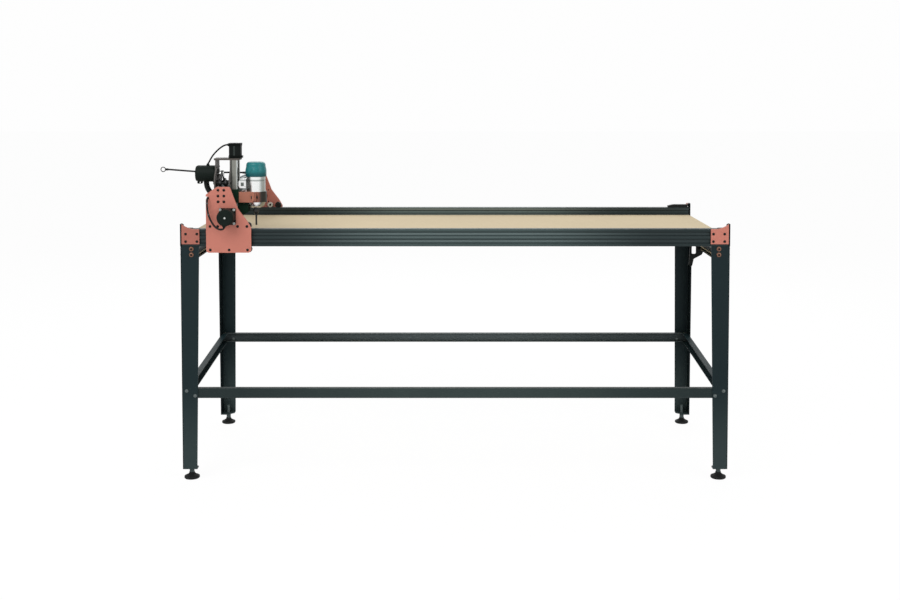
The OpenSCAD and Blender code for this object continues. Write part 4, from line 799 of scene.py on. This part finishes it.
# ---- wheels ----------------------------------------------------------------------------------
def bearing(centre, axis, steps):
    """Shields of a ball bearing on both faces of a wheel: an outer race, a pressed shield with a
    groove, and an inner race, as closed rings that lie in the wheel's shallow dish."""
    side = [
        (7.9, 4.3), (7.9, 4.95), (7.0, 4.95), (6.8, 4.75), (5.7, 4.75), (5.5, 4.95), (4.75, 4.95), (4.75, 4.3),
    ]  # fmt: skip
    away = -np.asarray(axis, float)
    return [lathe(side, centre, axis, steps, True), lathe(side, centre, away, steps, True)]


class ROUTER_OT_wheels(bpy.types.Operator):
    """Fit the bearings' shields into the V wheels"""

    bl_idname = "router.wheels"
    bl_label = "Wheel bearings"

    def execute(self, context):
        steps, steel, dull = context.scene.router_detail.turn, made("bright_steel"), made("dark_steel")
        for name, (x, z) in WHEELS.items():
            rings = [r for sy in (-1, 1) for r in bearing((x, sy * RAIL_Y, z), (0, 1, 0), steps)]
            new_piece(name + "_bearings", gather(rings), dull, name)
        for name, (y, z) in CARRIAGE_WHEELS.items():
            rings = [r for x in (REAR_X, FRONT_X) for r in bearing((x, CARRIAGE_Y + y, z), (1, 0, 0), steps)]
            new_piece(name + "_bearings", gather(rings), steel, name)
        return {"FINISHED"}


# ---- motors ----------------------------------------------------------------------------------
def motor_back(face, axis, length):
    """Boss and four cheese-head screws on the rear cover of a drive motor, from its flange face."""
    u, v, w = square_to(axis)
    end = np.asarray(face, float) + w * length
    shapes = [lathe([(9, -0.3), (9, 0.6), (8.4, 1.1), (4.4, 1.1), (4.4, -0.3)], end, axis, 24, True)]
    shapes += [
        lathe([(2.6, -0.2), (2.6, 0.7), (2.2, 1.1)], end + 19.5 * (i * u + k * v) / math.sqrt(2), axis, 16)
        for i in (-1, 1)
        for k in (-1, 1)
    ]
    return shapes


def gland(place, axis, r, long=8):
    """Tapered nut and collar where a cable of radius r enters a housing."""
    return lathe([(r + 3, -0.5), (r + 3, long * 0.4), (r + 2.2, long * 0.5), (r + 0.6, long)], place, axis, 18)


class ROUTER_OT_motors(bpy.types.Operator):
    """Add the motors' rear bosses, screws, glands and the square motor's recesses"""

    bl_idname = "router.motors"
    bl_label = "Motor details"

    def execute(self, context):
        paint, oxide = made("motor_paint"), made("black_oxide")
        for side, sy in (("front", -1), ("back", 1)):
            shapes = motor_back((DRIVE[0], sy * PLATE_Y, DRIVE[1]), (0, sy, 0), 56)
            shapes.append(gland((PLATE_X + 70, sy * (PLATE_Y + 44), 891.6), (0, 0, -1), 3.2, 6))
            new_piece(f"gantry_motor_back_cover_{side}", gather(shapes), paint, "gantry")
        shapes = motor_back(X_MOTOR, (-1, 0, 0), 71)
        shapes.append(gland((-860.5, CARRIAGE_Y, 1089.3), (0, 0, 1), 2.8, 7))
        new_piece("carriage_motor_cover", gather(shapes), paint, "carriage")
        corners = [(SCREW_X + 15.5 * i, CARRIAGE_Y + 15.5 * k) for i in (-1, 1) for k in (-1, 1)]
        cuts = [lathe([(3.2, 1164), (3.2, 1168)], (x, y, 0), (0, 0, 1), 20) for x, y in corners]
        cuts.append(lathe([(8, 1166), (8, 1168)], (SCREW_X, CARRIAGE_Y, 0), (0, 0, 1), 32))
        cut_copy("z_motor", "z_motor_cut", made("motor_square"), "carriage", gather(cuts))
        small = [lathe([(2.6, 1163.8), (2.6, 1165.6), (2.2, 1166)], (x, y, 0), (0, 0, 1), 16) for x, y in corners]
        new_piece("z_motor_screws", gather(small), made("bright_steel"), "carriage")
        plug = [
            block((SCREW_X + 21.0, CARRIAGE_Y - 8, 1116), (SCREW_X + 26, CARRIAGE_Y + 8, 1124)),
            gland((SCREW_X - 21.15, CARRIAGE_Y, 1161), (-1, 0, 0), 2.8, 7),
        ]
        new_piece("z_motor_plug", gather(plug), oxide, "carriage", 0.5)
        return {"FINISHED"}


# ---- lifting screw ---------------------------------------------------------------------------
class ROUTER_OT_screw(bpy.types.Operator):
    """Cut the thread of the lifting screw and clamp its coupler"""

    bl_idname = "router.screw"
    bl_label = "Lifting screw"

    def execute(self, context):
        lead = context.scene.router_detail.thread
        low, high, turns = 941.0, 1092.0, 24
        h = np.linspace(low, high, int((high - low) / lead * 8) + 1)
        t = np.arange(turns) * TAU / turns
        wave = np.abs(((h[:, None] / lead - t[None, :] / TAU) % 1) - 0.5) * 2
        r = 3.98 - 0.7 * np.clip(wave * 1.6 - 0.3, 0, 1)
        r[0], r[-1] = 3.2, 3.2
        ring = np.stack([r * np.cos(t), r * np.sin(t), np.broadcast_to(h[:, None], r.shape)], -1)
        points = ring.reshape(-1, 3) + [SCREW_X, CARRIAGE_Y, 0]
        rod = (points, strip(len(h), turns))
        coupler = lathe(
            [(4.1, 1081), (7, 1081), (7.5, 1081.6), (7.5, 1092.4), (7, 1092.8), (7, 1094.2), (7.5, 1094.6),
             (7.5, 1105.4), (7, 1106), (2.6, 1106), (2.6, 1093.5), (4.1, 1092.5)],
            (SCREW_X, CARRIAGE_Y, 0), (0, 0, 1), 32, True,
        )  # fmt: skip
        shaft = lathe([(2.5, 1093), (2.5, 1124)], (SCREW_X, CARRIAGE_Y, 0), (0, 0, 1), 20)
        pins = [
            lathe([(1.6, 6.2), (1.6, 7.55), (1.1, 7.7)], (SCREW_X, CARRIAGE_Y, z), (0, -1, 0), 12) for z in (1086.5, 1100)
        ]
        piece = new_piece("lifting_screw", gather([rod, coupler, shaft, *pins]), made("ground_steel"), "lead_screw")
        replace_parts(piece, "lead_screw")
        return {"FINISHED"}


# ---- router ----------------------------------------------------------------------------------
class ROUTER_OT_router(bpy.types.Operator):
    """Cut the cap's vents and fit the clamp's bolts and the switch's screws"""

    bl_idname = "router.router"
    bl_label = "Router details"

    def execute(self, context):
        vents = []
        for i in range(10):
            a = math.radians(130 + 36 * i)
            u, v = np.array([math.cos(a), math.sin(a), 0]), np.array([-math.sin(a), math.cos(a), 0])
            middle = np.array([ROUTER_X, CARRIAGE_Y, 0])
            ring = [middle + u * r + v * w for r, w in ((13, -1.1), (25, -1.3), (25, 1.3), (13, 1.1))]
            vents.append((np.array([p + [0, 0, z] for z in (1096, 1104) for p in ring]), strip(2, 4)))
        cut_copy("router_cap", "router_cap_cut", made("cap_plastic"), "z_slide", gather(vents))
        bolts = []
        for sy in (-1, 1):
            y = CARRIAGE_Y + sy * 41.5
            bolts.append(lathe(
                [(2.4, -3), (2.4, 13.9), (4.2, 13.9), (4.2, 18.3), (3.7, 18.8), (2.2, 18.8), (2.2, 16.4)],
                (-700.7, y, 981), (1, 0, 0), 20,
            ))  # fmt: skip
            bolts.append(lathe([(4.6, -4), (4.6, -0.05)], (-700.7, y, 981), (1, 0, 0), 6))
        new_piece("clamp_bolts", gather(bolts), made("black_oxide"), "z_slide")
        screws = [
            lathe([(2.0, -0.3), (2.0, 0.5), (1.5, 0.9)], (-729.5, CARRIAGE_Y + sy * 15, z), (0, sy, 0), 14)
            for sy in (-1, 1)
            for z in (1017, 1037)
        ]
        new_piece("housing_screws", gather(screws), made("bright_steel"), "z_slide")
        return {"FINISHED"}


# ---- cables ----------------------------------------------------------------------------------
MOTOR_CABLE = [
    (70, -44, 96.1), (70, -44, 91), (66, -43, 86.5), (59, -40, 84.5), (51, -37, 85), (42, -33, 89),
    (33, -29, 96.5), (25, -25, 107), (18, -22, 119), (12.5, -19, 132.5), (9, -17, 147), (7.5, -16, 160),
    (7, -15, 171), (7, -13.5, 180), (7, -9, 187), (7, -2, 189), (7, 6.5, 189), (7, 11, 184),
    (7, 12.5, 176), (7, 12.5, 168.3),
]  # fmt: skip
ARCH = [
    (-21.45, 0, 46), (-27, 0, 46), (-34, 0, 45.2), (-43, 0, 41.5), (-52, 0, 35.5), (-61, 0, 28),
    (-70, 0, 19), (-78, 0, 9.5), (-85, 0, -1), (-91, 0, -12), (-95.5, 0, -20), (-96, 0, -25.2),
]  # fmt: skip
SLEEVE = [
    (-36, 0, -28.8), (-36, 0, -35), (-34, 0, -46), (-29, 0, -57), (-22, 0, -66), (-13, 0, -72),
    (-6, 0, -74), (-0.3, 0, -74),
]  # fmt: skip


class ROUTER_OT_cables(bpy.types.Operator):
    """Run the motors' cables and the ribbed sleeve"""

    bl_idname = "router.cables"
    bl_label = "Motor cables"

    def execute(self, context):
        jacket, sheet = made("cable_jacket"), made("sheet_black")
        for side, sy in (("front", -1), ("back", 1)):
            route = np.array(MOTOR_CABLE) * [1, -sy, 1] + [PLATE_X, sy * PLATE_Y, PLATE_Z]
            cable = new_piece(
                f"motor_cable_{side}", sweep(eased(route, 5), 3.2, 14, (1, 1.5 * -sy, 0)), jacket, "gantry"
            )
            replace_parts(cable, "motor_cables")
            inner = sy * 388
            low, high = sorted((inner, inner - sy * 11))
            x = PLATE_X + 2
            holder = block((x, low, PLATE_Z + 144), (x + 14, high, PLATE_Z + 168))
            new_piece(f"cable_holder_{side}", holder, sheet, "gantry", 0.8)
            ties = []
            for k in (9, 12):
                along = unit(route[k + 1] - route[k - 1])
                ties.append(lathe([(3.1, -2), (4.3, -2), (4.3, 2), (3.1, 2)], route[k], along, 16, True))
                ties.append(block(route[k] + [-2, -sy * 4 - 2, -2], route[k] + [2, -sy * 4 + 2, 2]))
            new_piece(f"cable_ties_{side}", gather(ties), made("black_plastic"), "gantry")
            self.declare(cable, route)
        arch = np.array(ARCH, float) + [SCREW_X, CARRIAGE_Y, 1115]
        cable = new_piece("z_motor_cable", sweep(eased(arch, 6), 2.8, 14, (0, 1, 0)), jacket, "carriage")
        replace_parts(cable, "carriage_cables")
        self.declare(cable, arch, 0.0056)
        pitch = context.scene.router_detail.sleeve_rib
        path = eased(np.array(SLEEVE, float) + X_MOTOR, 12)
        long = lengths(path)[-1]
        path = spaced(path, int(long / pitch * 6) + 1)
        rib = np.abs(((lengths(path) / pitch) % 1) - 0.5) * 2
        sleeve = new_piece("cable_sleeve", sweep(path, 10 - 1.1 * rib, 20, (0, 1, 0)), jacket, "carriage")
        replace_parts(sleeve, "carriage_cables")
        return {"FINISHED"}

    def declare(self, cable, route, diameter=0.0064):
        path = eased(route, 5) * MM


# ---- lead ------------------------------------------------------------------------------------
LEAD_PATH = (
    [-27.4, 32.7, 0], [-33, 39.4, 0], [-40, 46, 0], [-49, 52.5, 0], [-60, 58, 0], [-72, 62, 0],
    [-87, 64, 0], [-104, 64.5, 0], [-122, 64.5, 0], [-140, 64.5, 0], [-158, 64.5, 0], [-176, 64.5, 0.4],
    [-194, 64.5, 1.2], [-212, 64.5, 2.3], [-230, 64.5, 3.6], [-248, 64.5, 5], [-266, 64.5, 6.4],
    [-284, 64.5, 7.8], [-302, 64.5, 9.2], [-320, 64.5, 10.6],
)  # fmt: skip
LEAD_AT = np.array([ROUTER_X, CARRIAGE_Y, 1060.0])
LEAD_D = 6.0


class ROUTER_OT_lead(bpy.types.Operator):
    """Draw the router's power lead, its strain relief, ferrule and hanging ring"""

    bl_idname = "router.lead"
    bl_label = "Lead"

    def execute(self, context):
        path = eased(np.array(LEAD_PATH, float) + LEAD_AT, 4)
        s = lengths(path)
        jacket = made("cable_jacket")
        lead = new_piece("power_lead", sweep(path, LEAD_D / 2, 14), jacket, "z_slide")
        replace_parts(lead, "router_lead")
        long = context.scene.router_detail.relief
        fine = spaced(path, int(s[-1] / 0.5))
        fine = fine[lengths(fine) <= long]
        at = lengths(fine)
        taper = 6.0 - 2.4 * at / at[-1]
        rib = np.where((at > 6) & (at < long - 3), (np.abs(((at / 4.5) % 1) - 0.5) < 0.17) * 1.0, 0.0)
        relief = new_piece("lead_relief", sweep(fine, taper - rib * 0.9, 16), made("rubber"), "z_slide")
        end = path[-1]
        ferrule = lathe(
            [(2.8, -0.5), (3.9, 0), (4.0, 3), (3.5, 3.4), (3.5, 4.6), (4.0, 5), (4.0, 9), (2.4, 9.7)],
            end + [0.0, 0, 0], (-1, 0, 0), 18,
        )  # fmt: skip
        t = np.arange(12) * TAU / 12
        ring = lathe(
            np.stack([7.95 + 1.5 * np.cos(t), 1.5 * np.sin(t)], -1), end - [18, 0, 0], (0, 1, 0), 28, True
        )
        eye = new_piece("lead_ferrule", gather([ferrule, ring]), made("black_oxide"), "z_slide")
        return {"FINISHED"}


# ---- stage -----------------------------------------------------------------------------------
def unseen(tree):
    """1 for rays from the camera and for mirrored and transmitted rays, which see a white room."""
    path = tree.nodes.new("ShaderNodeLightPath")
    total = path.outputs["Is Camera Ray"]
    for name in ("Is Glossy Ray", "Is Transmission Ray"):
        add = tree.nodes.new("ShaderNodeMath")
        add.operation, add.use_clamp = "ADD", True
        tree.links.new(total, add.inputs[0])
        tree.links.new(path.outputs[name], add.inputs[1])
        total = add.outputs[0]
    return total


class ROUTER_OT_stage(bpy.types.Operator):
    """Lay the pale floor and set the lights and the camera"""

    bl_idname = "router.stage"
    bl_label = "Stage"

    def execute(self, context):
        scene, s = context.scene, context.scene.router_stage
        size = 30
        ground = Shader("floor_pale")
        lit = ground.node("ShaderNodeBsdfPrincipled", None, {"Base Color": (0.86, 0.86, 0.86, 1), "Roughness": 0.8})[0]
        glow = ground.node("ShaderNodeEmission", None, {"Color": (1, 1, 1, 1), "Strength": 1.016})[0]
        factor = Value(ground, unseen(ground.tree)) * 0.93
        mixed = ground.node("ShaderNodeMixShader", None, {0: factor, 1: lit, 2: glow})[0]
        ground.node("ShaderNodeOutputMaterial", None, {"Surface": mixed})
        corners = [[-size, -size, 0], [size, -size, 0], [size, size, 0], [-size, size, 0]]
        floor = new_piece("floor", (np.array(corners) / MM, [[0, 1, 2, 3]]), ground.material, None)

        world = bpy.data.worlds.new("studio")
        scene.world = world
        world.use_nodes = True
        tree = world.node_tree
        tree.nodes.clear()
        parts = {}
        for name, strength in (("soft", 0.55 * s.level), ("white", 0.99)):
            parts[name] = tree.nodes.new("ShaderNodeBackground")
            parts[name].inputs["Color"].default_value = (1, 1, 1, 1)
            parts[name].inputs["Strength"].default_value = strength
        mix = tree.nodes.new("ShaderNodeMixShader")
        out = tree.nodes.new("ShaderNodeOutputWorld")
        tree.links.new(unseen(tree), mix.inputs[0])
        tree.links.new(parts["soft"].outputs[0], mix.inputs[1])
        tree.links.new(parts["white"].outputs[0], mix.inputs[2])
        tree.links.new(mix.outputs[0], out.inputs[0])

        for name, place, turn, width, power in (
            ("key", (-2.2, -3.4, 3.6), (50, 0, -32), 3.0, 120),
            ("fill", (3.2, -3.0, 2.4), (60, 0, 46), 3.0, 60),
            ("back", (0.0, 3.0, 3.4), (-48, 0, 0), 4.0, 70),
        ):
            light = bpy.data.lights.new(name, "AREA")
            light.size, light.energy = width, power * s.level
            lamp = bpy.data.objects.new(name, light)
            lamp.location = place
            lamp.rotation_euler = Euler([math.radians(a) for a in turn])
            scene.collection.objects.link(lamp)

        camera = bpy.data.objects.new("camera", bpy.data.cameras.new("camera"))
        camera.data.lens, camera.data.sensor_width = s.lens, 36
        camera.data.shift_x, camera.data.shift_y = -0.0057, -0.1699
        camera.location = (0, -s.distance, s.height)
        camera.rotation_euler = (math.pi / 2 - s.pitch, 0, 0)
        scene.collection.objects.link(camera)
        scene.camera = camera
        scene.view_settings.view_transform = "Standard"
        return {"FINISHED"}


class ROUTER_PT_panel(bpy.types.Panel):
    """The steps in order"""

    bl_idname = "ROUTER_PT_panel"
    bl_label = "Router table"
    bl_space_type = "VIEW_3D"
    bl_region_type = "UI"
    bl_category = "Router Table"

    def draw(self, context):
        for step in STEPS:
            self.layout.operator(step.bl_idname)
        for name in GROUPS:
            group = getattr(context.scene, name)
            for key in group.__annotations__:
                self.layout.prop(group, key)


STEPS = (
    ROUTER_OT_finishes, ROUTER_OT_lead, ROUTER_OT_cables, ROUTER_OT_belts, ROUTER_OT_sockets, ROUTER_OT_wheels,
    ROUTER_OT_motors, ROUTER_OT_screw, ROUTER_OT_router, ROUTER_OT_stage,
)  # fmt: skip
GROUPS = {"router_finish": FinishSettings, "router_detail": DetailSettings, "router_stage": StageSettings}
CLASSES = (*GROUPS.values(), *STEPS, ROUTER_PT_panel)


def register():
    for kind in CLASSES:
        bpy.utils.register_class(kind)
    for name, kind in GROUPS.items():
        setattr(bpy.types.Scene, name, PointerProperty(type=kind))


def unregister():
    for name in GROUPS:
        delattr(bpy.types.Scene, name)
    for kind in reversed(CLASSES):
        bpy.utils.unregister_class(kind)


def main():
    register()
    bpy.ops.router.finishes()
    bpy.ops.router.lead()
    bpy.ops.router.cables()
    bpy.ops.router.belts()
    bpy.ops.router.sockets()
    bpy.ops.router.wheels()
    bpy.ops.router.motors()
    bpy.ops.router.screw()
    bpy.ops.router.router()
    bpy.ops.router.stage()


if __name__ == "__main__":
    main()
